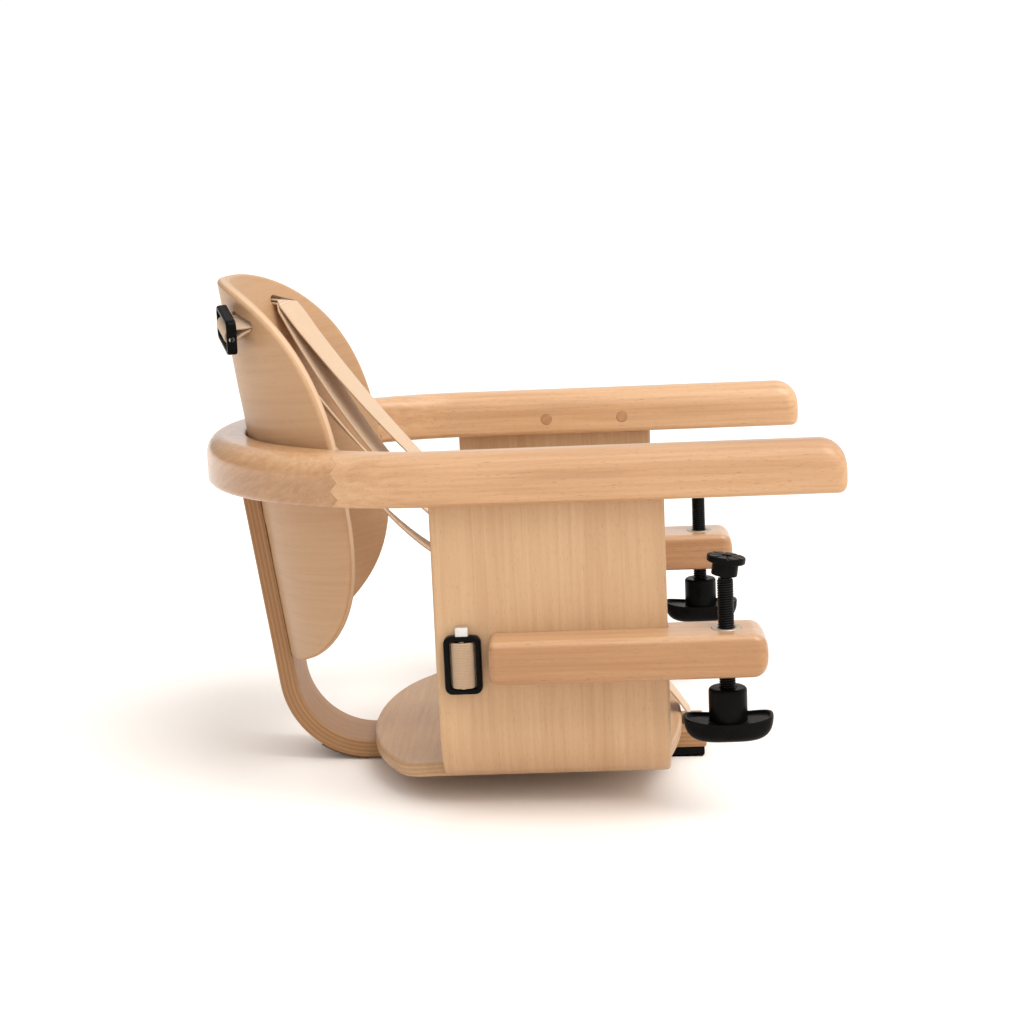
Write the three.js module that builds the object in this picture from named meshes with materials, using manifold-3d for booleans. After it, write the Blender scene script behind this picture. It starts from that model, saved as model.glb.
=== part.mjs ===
// Hook-on table seat for a small child. A beech ring and arms lie on a table top, a bent plywood seat
// hangs from the arms, a plywood backrest stands on a bent spine, and two screw clamps press up under
// the table. Millimetres, +Z up, +X towards the table, +Y to the left of the child.

import * as THREE from 'three';
import { mergeVertices } from 'three/addons/utils/BufferGeometryUtils.js';
import Module from 'manifold-3d';

const wasm = await Module();
wasm.setup();

// Clearances
const FIT = 0.3; // between pieces that touch, and round screws and inserts
const BREAKOUT = 2; // how far a cutting tool runs past the face that it opens

// Ring: the bow and both arms. Heights are measured from the arms' underside, which lies on the table
const ARM_OUTER_HALF = 162.5; // half the width over both arms, and the bow's outer radius
const ARM_WIDTH = 32.5;
const ARM_HEIGHT = 32;
const ARM_FRONT = 253; // from the side panels' rear edge to the arms' front ends
const BOW_CENTRE_X = 3; // centre of the bow, from the panels' rear edge
const BOW_STEPS = 30;
const ARM_TOP_ROUND = 13.5;
const ARM_BOTTOM_ROUND = 4;
const ARM_NOSE_TOP = 16;
const ARM_NOSE_BOTTOM = 5;
const ARM_NOSE_SIDE = 8;
const FINGER_JOINT_X = -57; // where the bow is finger-jointed to the arms
const FINGER_DEPTH = 10;
const FINGERS = 3;

// Backrest: a shell on a cylinder that leans back
const LEAN = 7.5; // degrees
const BACK_THICK = 8;
const BACK_TOP = 152; // along the slope, from the level of the arms' underside
const BACK_BOTTOM = -107;
const BACK_WIDEST = 15;
const BACK_HALF_ANGLE = 62.6; // degrees round the axis from the middle to the widest point
const BACK_TOP_FULLNESS = 2.5; // exponents of the outline's superellipses
const BACK_BOTTOM_FULLNESS = 3;
const BACK_ROWS = 7;
const BACK_COLUMNS = 14;

// Seat shell: side panels and seat bottom in one bend
const PANEL_THICK = 9;
const PANEL_DEPTH = 143.2; // rear edge to front edge
const PANEL_RISE = 20; // how far the panels go up into the arms
const SEAT_DROP = 184.2; // from the arms' underside to the seat's underside
const BEND_RADIUS = 48; // outer face
const REAR_TONGUE = 56; // how far the seat bottom runs behind the panels
const REAR_TONGUE_HALF = 125;
const FRONT_TONGUE = 12;
const FRONT_TONGUE_HALF = 95;

// Spine: a bent strip from the bow to the seat's front edge
const SPINE_WIDTH = 50;
const SPINE_THICK = 12;
const SPINE_RISE = 23.5; // height of its end inside the bow
const SPINE_HOLLOW = 2.6; // depth to which the backrest is let into it
const SPINE_BEND = 61; // outer face
const SPINE_OVERHANG = 15.8; // how far it runs ahead of the seat

// Feet
const FRONT_FOOT_THICK = 5.8;
const FRONT_FOOT_LENGTH = 30;
const FRONT_FOOT_SETBACK = 1.5;
const FRONT_FOOT_CHAMFER = 2.5;
const HEEL_PAD_THICK = 1.2;
const HEEL_PAD_SETBACK = 2; // from the spine's edges
const HEEL_PAD_START = 34; // degrees round the bend, from its lowest line
const HEEL_PAD_END = 3;

// Clamps
const BAR_REAR = 34;
const BAR_WIDTH = 45;
const BAR_LAP = 17; // how far it reaches in ahead of the panel, from the panel's outer face
const BAR_HEIGHT = 26.8;
const BAR_DROP = 80.9; // from the arms' underside to the bars' top
const BAR_ROUND = 5;
const BAR_NOSE = 9.5; // rounding of its front end above and below
const BAR_NOSE_SIDE = 7;
const BAR_TAIL = 4; // rounding of its rear end
const CLAMP_AHEAD = 35; // axis of the clamp screws, ahead of the panels
const BAR_OVERHANG = 24.1; // from that axis to the bars' front ends
const ROD_RADIUS = 5;
const INSERT_RADIUS = 6.5;
const INSERT_LENGTH = 22;
const INSERT_FLANGE_RADIUS = 9;
const INSERT_FLANGE_THICK = 1.4;
const INSERT_FLANGE_PROUD = 0.4;
const KNOB_GAP = 10.4; // from the bar to the knob's hub, as the clamp stands
const KNOB_HUB_RADIUS = 11.8;
const KNOB_HUB_HEIGHT = 17.1; // from the grip's rim
const KNOB_HALF_LENGTH = 27.5;
const KNOB_HALF_WIDTH = 16;
const KNOB_SQUARENESS = 3; // power of the grip's outline from above: 2 is an ellipse
const KNOB_HEIGHT = 15.7;
const KNOB_FULLNESS = 2.6; // the same for the curve of its sides
const KNOB_FOOT_SHARE = 0.4; // size of its foot, as a share of the rim's
const KNOB_LIP = 2.2;
const KNOB_DISH = 1.8; // depth of the hollow in its top
const ROD_ENTRY = 26; // depth of the rod in the knob
const PAD_LIFT = 32.6; // from the bar's top to the pad's lower face, as the clamp stands
const PAD_RADIUS = 11.8;
const PAD_DISC_THICK = 4.2;
const PAD_HUB_RADIUS = 8;
const PAD_HEIGHT = 12.2;
const PAD_TILT = 8.5; // degrees, how the loose pad hangs on its ball
const BALL_RADIUS = 4;
const BALL_DEPTH = 3.7; // from the pad's lower face up to the ball's centre
const NECK_RADIUS = 2.7;
const NECK_DROP = 5.4; // from the ball's centre to the rod's shoulder
const CUP_WALL = 1.9;
const CUP_HALF_HEIGHT = 2.5;
const PAD_LIP = 0.7; // thickness of the lip that holds the cup in the pad
const PAD_LIP_RADIUS = 5.6;

// Screws and plugs
const ARM_SCREW = { headRadius: 3.8, headHeight: 2.6, shankRadius: 2, length: 22 };
const BAR_SCREW = { headRadius: 5, headHeight: 2.6, shankRadius: 2.5, length: 26 };
const SPINE_SCREW = { headRadius: 3.8, headHeight: 2.6, shankRadius: 2, length: 24 };
const BACK_SCREW = { headRadius: 3.8, headHeight: 2.6, shankRadius: 2, length: 15 };
const SEAT_SCREW = { headRadius: 4, headHeight: 2.6, shankRadius: 2.2, length: 18 };
const SCREW_POINT = 2;
const PLUG_RADIUS = 4;
const PLUG_DEPTH = 5;
const ARM_SCREW_Z = 11.5;
const ARM_SCREW_SHARES = [0.464, 0.855]; // places along the panels' depth
const BAR_SCREW_SHARES = [0.433, 0.852];
const SPINE_SCREW_HALF = 12; // half the distance between the two screws in the bow
const SPINE_SCREW_Z = 12;
const BACK_SCREW_HEIGHTS = [-24, -84];
const SEAT_SCREW_SHARES = [0.14, 0.72];

// Harness
const STRAP_WIDTH = 25;
const STRAP_THICK = 1.6;
const SLOT_PLAY = 4; // slot length beyond the strap's width
const SLOT_WIDTH = 7;
const BACK_SLOT_ANGLE = 33.75; // degrees round the backrest from its middle
const BACK_SLOT_HEIGHT = 124.6;
const BACK_SLOT_SLOPE = 19.2; // degrees, outer end lower
const WAIST_SLOT_X = 17;
const WAIST_SLOT_DROP = 99.5;
const SLIDER_MARGIN = 3.6; // rim round the opening
const SLIDER_PLAY = 4.5; // opening length beyond the strap's width
const SLIDER_OPENING = 16;
const SLIDER_THICK = 6.4;
const SLIDER_CORNER = 3.5;
const PIN_RADIUS = 2.4; // pin that the strap is folded round, across each slider
const PIN_HOLD = 2.2; // length of the pin in the slider's rim
const WAIST_PIN_PROUD = 5.6; // how far the waist pins stand out of the slider's upper end
const WAIST_HEAD_WIDTH = 8.2;
const WAIST_HEAD_CORNER = 1;
const HANG_TILT = 15; // degrees that the outer ends of the shoulder sliders stand off the back
const HANG_DROP = 4.2; // how far the shoulder sliders hang below their slots
const HANG_LIFT = 1.5; // and stand off the back at their inner ends
const FOLD_HALF = 6.4; // half the width of the fold round a pin
const LAYER_OFFSET = 1.2; // of each strap layer from the slot's middle
const STRAP_LEAD = 8; // straight length before a strap turns away from a waist slot or a bar
const SHOULDER_LEAD = 4.4; // the same at a shoulder slot
const SHOULDER_RISE = 0.6; // straight length outside a shoulder slot
const STRAP_STEPS = 9; // along each free run
const WRAP_STEPS = 8; // round each bar
const SHOULDER_SAG = { left: [13, 34], right: [20, 40] }; // upper and lower run
const WAIST_SLACK = [[0, 0, -5], [-9, 0, -7]]; // front and rear run
const CROTCH_GRIP = 37; // length held between the seat and the spine
const CROTCH_SLACK = 7;
const CROTCH_TAIL = 26;

// Buckle, in its own frame: x across, y up along the straps, z out of its face
const BUCKLE_SHARE = 0.427; // place along the panels' depth
const BUCKLE_DROP = 87.3;
const BUCKLE_PITCH = 40; // degrees that its straps' line leans back
const HOUSING_HALF_WIDTH = 24;
const HOUSING_HALF_HEIGHT = 20;
const HOUSING_THICK = 15;
const HOUSING_CORNER = 7;
const TONGUE_THICK = 4;
const TONGUE_BAR = 3.6;
const TONGUE_SLOT = 3.6;
const TONGUE_MARGIN = 3;
const BLADE_LENGTH = 13.5;
const BLADE_HALF_HEIGHT = 8.5;
const BUTTON_RADIUS = 8;
const BUTTON_THICK = 5;
const BUTTON_PROUD = 1.6;
const BUTTON_TRAVEL = 1.5;

// Sizes that follow from the others
const ARM_INNER_HALF = ARM_OUTER_HALF - ARM_WIDTH;
const PANEL_OUTER_HALF = (ARM_OUTER_HALF + ARM_INNER_HALF + PANEL_THICK) / 2;
const PANEL_INNER_HALF = PANEL_OUTER_HALF - PANEL_THICK;
const LEAN_ANGLE = THREE.MathUtils.degToRad(LEAN);
const LEAN_SIN = Math.sin(LEAN_ANGLE);
const LEAN_COS = Math.cos(LEAN_ANGLE);
const LEAN_TAN = Math.tan(LEAN_ANGLE);
const BACK_OUTER = ARM_INNER_HALF - FIT; // outer radius of the backrest
const SPINE_TOP_Z = -SEAT_DROP - FIT;
const SPINE_BOTTOM_Z = SPINE_TOP_Z - SPINE_THICK;
const SPINE_REAR = BACK_OUTER - SPINE_HOLLOW + SPINE_THICK; // rear face, from the backrest's axis
const SEAT_FRONT = PANEL_DEPTH + FRONT_TONGUE;
const SPINE_FRONT = SEAT_FRONT + SPINE_OVERHANG;
const CROTCH_START_X = SEAT_FRONT - CROTCH_GRIP;
const BAR_INNER_HALF = PANEL_OUTER_HALF - BAR_LAP;
const BAR_BOTTOM_Z = -BAR_DROP - BAR_HEIGHT;
const CLAMP_X = PANEL_DEPTH + CLAMP_AHEAD;
const BAR_FRONT = CLAMP_X + BAR_OVERHANG;
const CLAMP_HALF = BAR_INNER_HALF + BAR_WIDTH / 2;
const BALL_Z = -BAR_DROP + PAD_LIFT + BALL_DEPTH;
const BUCKLE_X = BUCKLE_SHARE * PANEL_DEPTH;
const FLOOR_Z = SPINE_BOTTOM_Z - FIT - FRONT_FOOT_THICK;
const MIDDLE_X = (ARM_FRONT + BOW_CENTRE_X - ARM_OUTER_HALF) / 2;
const SIDES = [{ name: 'left', sign: 1 }, { name: 'right', sign: -1 }];

// Materials
const finish = (color, roughness, metalness = 0) =>
  new THREE.MeshStandardMaterial({ color, roughness, metalness });
const BEECH = finish(0xd9a873, 0.5);
const PLYWOOD = finish(0xd8b48c, 0.55);
const WEBBING = finish(0xe3c7a1, 0.9);
const BLACK_PLASTIC = finish(0x121212, 0.45);
const BLACK_STEEL = finish(0x1c1c1c, 0.4, 0.8);
const ZINC = finish(0xb8b8b4, 0.35, 0.9);
const RUBBER = finish(0x101010, 0.85);
const FELT = finish(0x7a5a3c, 0.95);

// Geometry helpers

const vec = (x, y, z) => new THREE.Vector3(x, y, z);
const radians = THREE.MathUtils.degToRad;

// Indexed geometry from positions and triangles, with its faces turned outwards
function body(positions, triangles) {
  let volume = 0;
  const corner = (i) => vec(...positions.slice(3 * i, 3 * i + 3));
  for (let i = 0; i < triangles.length; i += 3) {
    const [a, b, c] = triangles.slice(i, i + 3).map(corner);
    volume += a.dot(b.cross(c));
  }
  const faces = volume < 0 ? [...triangles].reverse() : triangles;
  const geometry = new THREE.BufferGeometry();
  geometry.setAttribute('position', new THREE.Float32BufferAttribute(positions, 3));
  geometry.setIndex(faces);
  geometry.computeVertexNormals();
  return geometry;
}

// The same shape with shared corners merged and empty triangles dropped
function welded(geometry) {
  const bare = geometry.clone();
  bare.deleteAttribute('normal');
  bare.deleteAttribute('uv');
  const merged = mergeVertices(bare);
  const index = merged.index.array;
  const triangles = [];
  for (let i = 0; i < index.length; i += 3) {
    const [a, b, c] = index.slice(i, i + 3);
    if (a !== b && b !== c && c !== a) triangles.push(a, b, c);
  }
  return body(Array.from(merged.attributes.position.array), triangles);
}

function solid(geometry) {
  const clean = welded(geometry);
  return new wasm.Manifold(new wasm.Mesh({
    numProp: 3,
    vertProperties: new Float32Array(clean.attributes.position.array),
    triVerts: new Uint32Array(clean.index.array),
  }));
}

function geometryOf(manifold) {
  const mesh = manifold.getMesh();
  return body(Array.from(mesh.vertProperties), Array.from(mesh.triVerts));
}

function cut(base, tools) {
  return geometryOf(tools.reduce((left, tool) => left.subtract(solid(tool)), solid(base)));
}

function join(pieces) {
  return geometryOf(pieces.slice(1).reduce((sum, piece) => sum.add(solid(piece)), solid(pieces[0])));
}

function overlap(a, b) {
  return geometryOf(solid(a).intersect(solid(b)));
}

function mirrored(geometry) {
  const copy = geometry.clone();
  copy.scale(1, -1, 1);
  return body(Array.from(copy.attributes.position.array), Array.from(copy.index.array));
}

function block(x0, x1, y0, y1, z0, z1) {
  const geometry = new THREE.BoxGeometry(x1 - x0, y1 - y0, z1 - z0);
  geometry.translate((x0 + x1) / 2, (y0 + y1) / 2, (z0 + z1) / 2);
  return geometry;
}

// Turned body on the Z axis from a profile of [radius, height] points
function turned(profile, segments = 18) {
  const geometry = new THREE.LatheGeometry(profile.map(([r, z]) => new THREE.Vector2(r, z)), segments);
  geometry.rotateX(Math.PI / 2);
  return welded(geometry);
}

function extruded(shape, depth, steps = 8) {
  return welded(new THREE.ExtrudeGeometry(shape, { depth, bevelEnabled: false, curveSegments: steps }));
}

// Outline in the XZ plane made into a body that is centred on Y = 0
function acrossY(shape, width, steps = 8) {
  const geometry = extruded(shape, width, steps);
  geometry.applyMatrix4(new THREE.Matrix4().makeBasis(vec(1, 0, 0), vec(0, 0, 1), vec(0, -1, 0)));
  geometry.translate(0, width / 2, 0);
  return geometry;
}

// Closed body through rings of corners, capped at both ends or joined into a loop
function loft(rings, loop = false) {
  const count = rings[0].length;
  const triangles = [];
  const spans = loop ? rings.length : rings.length - 1;
  for (let i = 0; i < spans; i++) {
    const a = i * count;
    const b = ((i + 1) % rings.length) * count;
    for (let j = 0; j < count; j++) {
      const k = (j + 1) % count;
      triangles.push(a + j, b + j, b + k, a + j, b + k, a + k);
    }
  }
  if (!loop) {
    const last = (rings.length - 1) * count;
    for (let j = 1; j < count - 1; j++) {
      triangles.push(0, j, j + 1);
      triangles.push(last, last + j + 1, last + j);
    }
  }
  return body(rings.flat().flatMap((p) => p.toArray()), triangles);
}

function roundedRectangle(halfWidth, halfHeight, radius, PathType = THREE.Shape) {
  const path = new PathType();
  path.moveTo(halfWidth, radius - halfHeight);
  path.absarc(halfWidth - radius, halfHeight - radius, radius, 0, Math.PI / 2);
  path.absarc(radius - halfWidth, halfHeight - radius, radius, Math.PI / 2, Math.PI);
  path.absarc(radius - halfWidth, radius - halfHeight, radius, Math.PI, 1.5 * Math.PI);
  path.absarc(halfWidth - radius, radius - halfHeight, radius, 1.5 * Math.PI, 2 * Math.PI);
  path.closePath();
  return path;
}

function moved(geometry, matrix) {
  const copy = geometry.clone();
  copy.applyMatrix4(matrix);
  return copy;
}

// Frame at a point whose z axis is the given direction
function facing(point, direction) {
  const turn = new THREE.Quaternion().setFromUnitVectors(vec(0, 0, 1), direction.clone().normalize());
  return new THREE.Matrix4().compose(point, turn, vec(1, 1, 1));
}

function frameOf(point, xAxis, zAxis) {
  const yAxis = new THREE.Vector3().crossVectors(zAxis, xAxis);
  return new THREE.Matrix4().makeBasis(xAxis, yAxis, zAxis).setPosition(point);
}

const chair = new THREE.Group();
chair.position.set(-MIDDLE_X, 0, -FLOOR_Z);

function add(name, geometry, material, parent = chair) {
  const mesh = new THREE.Mesh(geometry, material);
  mesh.name = name;
  parent.add(mesh);
  return mesh;
}

// Solid beech bars with rounded edges and ends

// Half-rounded section of a bar as [across, height] corners, drawn in from its sides, top and bottom
function barSection(width, height, topRound, bottomRound, inset) {
  const left = inset.side;
  const right = width - inset.side;
  const low = inset.bottom;
  const high = height - inset.top;
  const limit = Math.min(right - left, high - low) / 2;
  const corners = [
    [right, high, Math.min(topRound, limit), 0],
    [left, high, Math.min(topRound, limit), 1],
    [left, low, Math.min(bottomRound, limit), 2],
    [right, low, Math.min(bottomRound, limit), 3],
  ];
  const steps = 3;
  return corners.flatMap(([u, z, r, quarter]) => {
    const cu = u === right ? u - r : u + r;
    const cz = z === high ? z - r : z + r;
    return Array.from({ length: steps + 1 }, (_, i) => {
      const angle = (quarter + i / steps) * Math.PI / 2;
      return [cu + r * Math.cos(angle), cz + r * Math.sin(angle)];
    });
  });
}

const insetAt = (distance, radius) =>
  distance < radius ? radius - Math.sqrt(radius ** 2 - (radius - distance) ** 2) : 0;

// Distances from a rounded end and how far the section is drawn in there
function noseStations(side, top, bottom) {
  const deepest = Math.max(side, top, bottom);
  const steps = 4;
  return Array.from({ length: steps + 1 }, (_, i) => {
    const distance = deepest * (1 - Math.cos((i / steps) * Math.PI / 2));
    return {
      distance,
      inset: {
        side: insetAt(distance, side),
        top: insetAt(distance, top),
        bottom: insetAt(distance, bottom),
      },
    };
  });
}

// Screws: the head starts at z = 0 and the point is up the z axis

function countersunkScrew({ headRadius, headHeight, shankRadius, length }) {
  return turned([
    [0, 0],
    [headRadius, 0],
    [shankRadius, headHeight],
    [shankRadius, length - SCREW_POINT],
    [0, length],
  ], 12);
}

function countersunkHole({ headRadius, headHeight, shankRadius, length }, lead = BREAKOUT) {
  return turned([
    [0, -lead],
    [headRadius + FIT, -lead],
    [headRadius + FIT, FIT],
    [shankRadius + FIT, headHeight + FIT],
    [shankRadius + FIT, length + FIT],
    [0, length + FIT],
  ], 12);
}

function panScrew({ headRadius, headHeight, shankRadius, length }) {
  return turned([
    [0, -headHeight],
    [headRadius, -headHeight],
    [headRadius, -FIT],
    [shankRadius, -FIT],
    [shankRadius, length - SCREW_POINT],
    [0, length],
  ], 12);
}

function shankHole({ shankRadius, length }) {
  return turned([
    [0, -BREAKOUT],
    [shankRadius + FIT, -BREAKOUT],
    [shankRadius + FIT, length + FIT],
    [0, length + FIT],
  ], 12);
}

// Points and directions on the leaning back

const BACK_UP = vec(-LEAN_SIN, 0, LEAN_COS);
const BACK_FORWARD = vec(LEAN_COS, 0, LEAN_SIN);

// Point at a height along the slope, an angle round from the middle and a radius from the axis
function backPoint(height, angle, radius) {
  return vec(BOW_CENTRE_X, 0, 0)
    .addScaledVector(BACK_UP, height)
    .addScaledVector(BACK_FORWARD, -radius * Math.cos(angle))
    .add(vec(0, radius * Math.sin(angle), 0));
}

// Frame of a left backrest slot: x along the slot, z out of the back
function backSlotFrame() {
  const angle = radians(BACK_SLOT_ANGLE);
  const slope = radians(BACK_SLOT_SLOPE);
  const outward = BACK_FORWARD.clone().multiplyScalar(-Math.cos(angle)).add(vec(0, Math.sin(angle), 0));
  const round = BACK_FORWARD.clone().multiplyScalar(Math.sin(angle)).add(vec(0, Math.cos(angle), 0));
  const along = round.multiplyScalar(Math.cos(slope)).addScaledVector(BACK_UP, -Math.sin(slope));
  return frameOf(backPoint(BACK_SLOT_HEIGHT, angle, BACK_OUTER), along, outward);
}

const waistSlotFrame = () =>
  frameOf(vec(WAIST_SLOT_X, PANEL_OUTER_HALF, -WAIST_SLOT_DROP), vec(0, 0, 1), vec(0, 1, 0));

const strapSlotTool = (thickness) => {
  const outline = roundedRectangle((STRAP_WIDTH + SLOT_PLAY) / 2, SLOT_WIDTH / 2, SLOT_WIDTH / 2 - 0.01);
  const tool = extruded(outline, thickness + 2 * BREAKOUT, 4);
  tool.translate(0, 0, -thickness - BREAKOUT);
  return tool;
};

// Frames of the screws, each with its head at the origin and its point up the z axis

const armScrewStart = ARM_INNER_HALF + PLUG_DEPTH + FIT;
const armScrewFrames = ARM_SCREW_SHARES.map((share) =>
  facing(vec(share * PANEL_DEPTH, armScrewStart, ARM_SCREW_Z), vec(0, 1, 0)));
const barScrewFrames = BAR_SCREW_SHARES.map((share) =>
  facing(vec(share * PANEL_DEPTH, PANEL_INNER_HALF, -BAR_DROP - BAR_HEIGHT / 2), vec(0, 1, 0)));
const spineScrewFrames = SIDES.map(({ sign }) => {
  const y = sign * SPINE_SCREW_HALF;
  const radius = Math.sqrt(BACK_OUTER ** 2 - y ** 2) + FIT;
  const height = (SPINE_SCREW_Z + radius * LEAN_SIN) / LEAN_COS;
  return facing(backPoint(height, 0, radius).setY(y), BACK_FORWARD.clone().negate());
});
const backScrewFrames = BACK_SCREW_HEIGHTS.map((height) =>
  facing(backPoint(height, 0, SPINE_REAR), BACK_FORWARD));
const seatScrewFrames = SEAT_SCREW_SHARES.map((share) =>
  facing(vec(share * PANEL_DEPTH, 0, SPINE_BOTTOM_Z), vec(0, 0, 1)));

// Bow and arms

// Corner of the ring's section on the bow: the inner face follows the leaning backrest
function bowPoint(angle, across, height) {
  const inner = vec(
    BOW_CENTRE_X - LEAN_TAN * height - (ARM_INNER_HALF / LEAN_COS) * Math.cos(angle),
    ARM_INNER_HALF * Math.sin(angle),
    height,
  );
  const outer = vec(
    BOW_CENTRE_X - ARM_OUTER_HALF * Math.cos(angle),
    ARM_OUTER_HALF * Math.sin(angle),
    height,
  );
  return inner.lerp(outer, across / ARM_WIDTH);
}

function ringBody() {
  const plain = { side: 0, top: 0, bottom: 0 };
  const armRings = noseStations(ARM_NOSE_SIDE, ARM_NOSE_TOP, ARM_NOSE_BOTTOM).map(({ distance, inset }) =>
    barSection(ARM_WIDTH, ARM_HEIGHT, ARM_TOP_ROUND, ARM_BOTTOM_ROUND, inset)
      .map(([u, z]) => vec(ARM_FRONT - distance, ARM_INNER_HALF + u, z)));
  const section = barSection(ARM_WIDTH, ARM_HEIGHT, ARM_TOP_ROUND, ARM_BOTTOM_ROUND, plain);
  const bowRings = Array.from({ length: BOW_STEPS + 1 }, (_, i) => {
    const angle = Math.PI / 2 - (i / BOW_STEPS) * Math.PI;
    return section.map(([u, z]) => bowPoint(angle, u, z));
  });
  const mirror = (ring) => ring.map((p) => vec(p.x, -p.y, p.z));
  return loft([...armRings, ...bowRings, ...armRings.map(mirror).reverse()]);
}

// Everything behind the finger joint, with the joint's face shifted forwards by a gap
function behindJoint(gap) {
  const outline = new THREE.Shape();
  const middle = FINGER_JOINT_X + gap;
  const behind = BOW_CENTRE_X - ARM_OUTER_HALF - BREAKOUT;
  const half = FINGER_DEPTH / 2;
  outline.moveTo(behind, -BREAKOUT);
  outline.lineTo(middle - half, -BREAKOUT);
  for (let i = 0; i <= 2 * FINGERS; i++) {
    outline.lineTo(middle + (i % 2 ? half : -half), (i / (2 * FINGERS)) * ARM_HEIGHT);
  }
  outline.lineTo(middle - half, ARM_HEIGHT + BREAKOUT);
  outline.lineTo(behind, ARM_HEIGHT + BREAKOUT);
  outline.closePath();
  return acrossY(outline, 2 * ARM_OUTER_HALF + 2 * BREAKOUT);
}

// Room for the spine's upper end, open to the backrest and downwards
function spineMortise() {
  const rear = SPINE_REAR + FIT;
  const outline = new THREE.Shape();
  const rearX = (z) => BOW_CENTRE_X - LEAN_TAN * z - rear / LEAN_COS;
  const top = SPINE_RISE + FIT;
  outline.moveTo(rearX(-BREAKOUT), -BREAKOUT);
  outline.lineTo(BOW_CENTRE_X, -BREAKOUT);
  outline.lineTo(BOW_CENTRE_X, top);
  outline.lineTo(rearX(top), top);
  outline.closePath();
  return acrossY(outline, SPINE_WIDTH + 2 * FIT);
}

const ring = ringBody();
const spineScrewHoles = spineScrewFrames.map((frame) => moved(countersunkHole(SPINE_SCREW), frame));
add('back_bow', cut(overlap(ring, behindJoint(0)), [spineMortise(), ...spineScrewHoles]), BEECH);

function leftArm() {
  const leftSide = block(FINGER_JOINT_X - FINGER_DEPTH, ARM_FRONT + BREAKOUT, 0,
    ARM_OUTER_HALF + BREAKOUT, -BREAKOUT, ARM_HEIGHT + BREAKOUT);
  const groove = block(-FIT, PANEL_DEPTH + FIT, PANEL_INNER_HALF - FIT, PANEL_OUTER_HALF + FIT,
    -BREAKOUT, PANEL_RISE + FIT);
  const lead = PLUG_DEPTH + FIT + BREAKOUT;
  const plugHole = turned([
    [0, -lead],
    [PLUG_RADIUS + FIT, -lead],
    [PLUG_RADIUS + FIT, 0],
    [0, 0],
  ], 16);
  const holes = armScrewFrames.flatMap((frame) =>
    [moved(plugHole, frame), moved(countersunkHole(ARM_SCREW), frame)]);
  return cut(overlap(ring, leftSide), [behindJoint(FIT), groove, ...holes]);
}

const arm = leftArm();
const onSide = (geometry, sign) => (sign > 0 ? geometry : mirrored(geometry));
for (const { name, sign } of SIDES) {
  add(`arm_${name}`, onSide(arm, sign), BEECH);
  armScrewFrames.forEach((frame, i) => {
    const plug = turned([[0, 0], [PLUG_RADIUS, 0], [PLUG_RADIUS, PLUG_DEPTH], [0, PLUG_DEPTH]], 16);
    plug.translate(0, 0, -PLUG_DEPTH - FIT);
    add(`arm_plug_${name}_${i + 1}`, onSide(moved(plug, frame), sign), BEECH);
    add(`arm_screw_${name}_${i + 1}`, onSide(moved(countersunkScrew(ARM_SCREW), frame), sign), ZINC);
  });
}

// Seat shell

function seatProfile() {
  const shape = new THREE.Shape();
  const bendY = PANEL_OUTER_HALF - BEND_RADIUS;
  const bendZ = BEND_RADIUS - SEAT_DROP;
  const inner = BEND_RADIUS - PANEL_THICK;
  shape.moveTo(PANEL_OUTER_HALF, PANEL_RISE);
  shape.lineTo(PANEL_INNER_HALF, PANEL_RISE);
  shape.absarc(bendY, bendZ, inner, 0, -Math.PI / 2, true);
  shape.absarc(-bendY, bendZ, inner, -Math.PI / 2, -Math.PI, true);
  shape.lineTo(-PANEL_INNER_HALF, PANEL_RISE);
  shape.lineTo(-PANEL_OUTER_HALF, PANEL_RISE);
  shape.absarc(-bendY, bendZ, BEND_RADIUS, Math.PI, 1.5 * Math.PI);
  shape.absarc(bendY, bendZ, BEND_RADIUS, 1.5 * Math.PI, 2 * Math.PI);
  shape.closePath();
  const length = REAR_TONGUE + SEAT_FRONT + 2 * BREAKOUT;
  const geometry = extruded(shape, length, 7);
  geometry.applyMatrix4(new THREE.Matrix4().makeBasis(vec(0, 1, 0), vec(0, 0, 1), vec(1, 0, 0)));
  geometry.translate(-REAR_TONGUE - BREAKOUT, 0, 0);
  return geometry;
}

// Outline of the shell from above: the panels' depth, a rounded tongue behind and a bowed front edge
function seatPlan() {
  const shape = new THREE.Shape();
  const wide = PANEL_OUTER_HALF + BREAKOUT;
  const frontRadius = (FRONT_TONGUE_HALF ** 2 + FRONT_TONGUE ** 2) / (2 * FRONT_TONGUE);
  const frontHalfAngle = Math.asin(FRONT_TONGUE_HALF / frontRadius);
  shape.moveTo(0, wide);
  shape.lineTo(0, REAR_TONGUE_HALF);
  shape.absellipse(0, 0, REAR_TONGUE, REAR_TONGUE_HALF, Math.PI / 2, 1.5 * Math.PI);
  shape.lineTo(0, -wide);
  shape.lineTo(PANEL_DEPTH, -wide);
  shape.absarc(SEAT_FRONT - frontRadius, 0, frontRadius, -frontHalfAngle, frontHalfAngle);
  shape.lineTo(PANEL_DEPTH, wide);
  shape.closePath();
  const geometry = extruded(shape, SEAT_DROP + PANEL_RISE + 2 * BREAKOUT, 14);
  geometry.translate(0, 0, -SEAT_DROP - BREAKOUT);
  return geometry;
}

function seatShell() {
  const leftHoles = [
    ...armScrewFrames.map((frame) => moved(countersunkHole(ARM_SCREW), frame)),
    ...barScrewFrames.map((frame) => moved(shankHole(BAR_SCREW), frame)),
    moved(strapSlotTool(PANEL_THICK), waistSlotFrame()),
  ];
  const seatHoles = seatScrewFrames.map((frame) => moved(countersunkHole(SEAT_SCREW), frame));
  return cut(overlap(seatProfile(), seatPlan()), [...leftHoles, ...leftHoles.map(mirrored), ...seatHoles]);
}

add('seat_shell', seatShell(), PLYWOOD);

// Backrest

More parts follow.
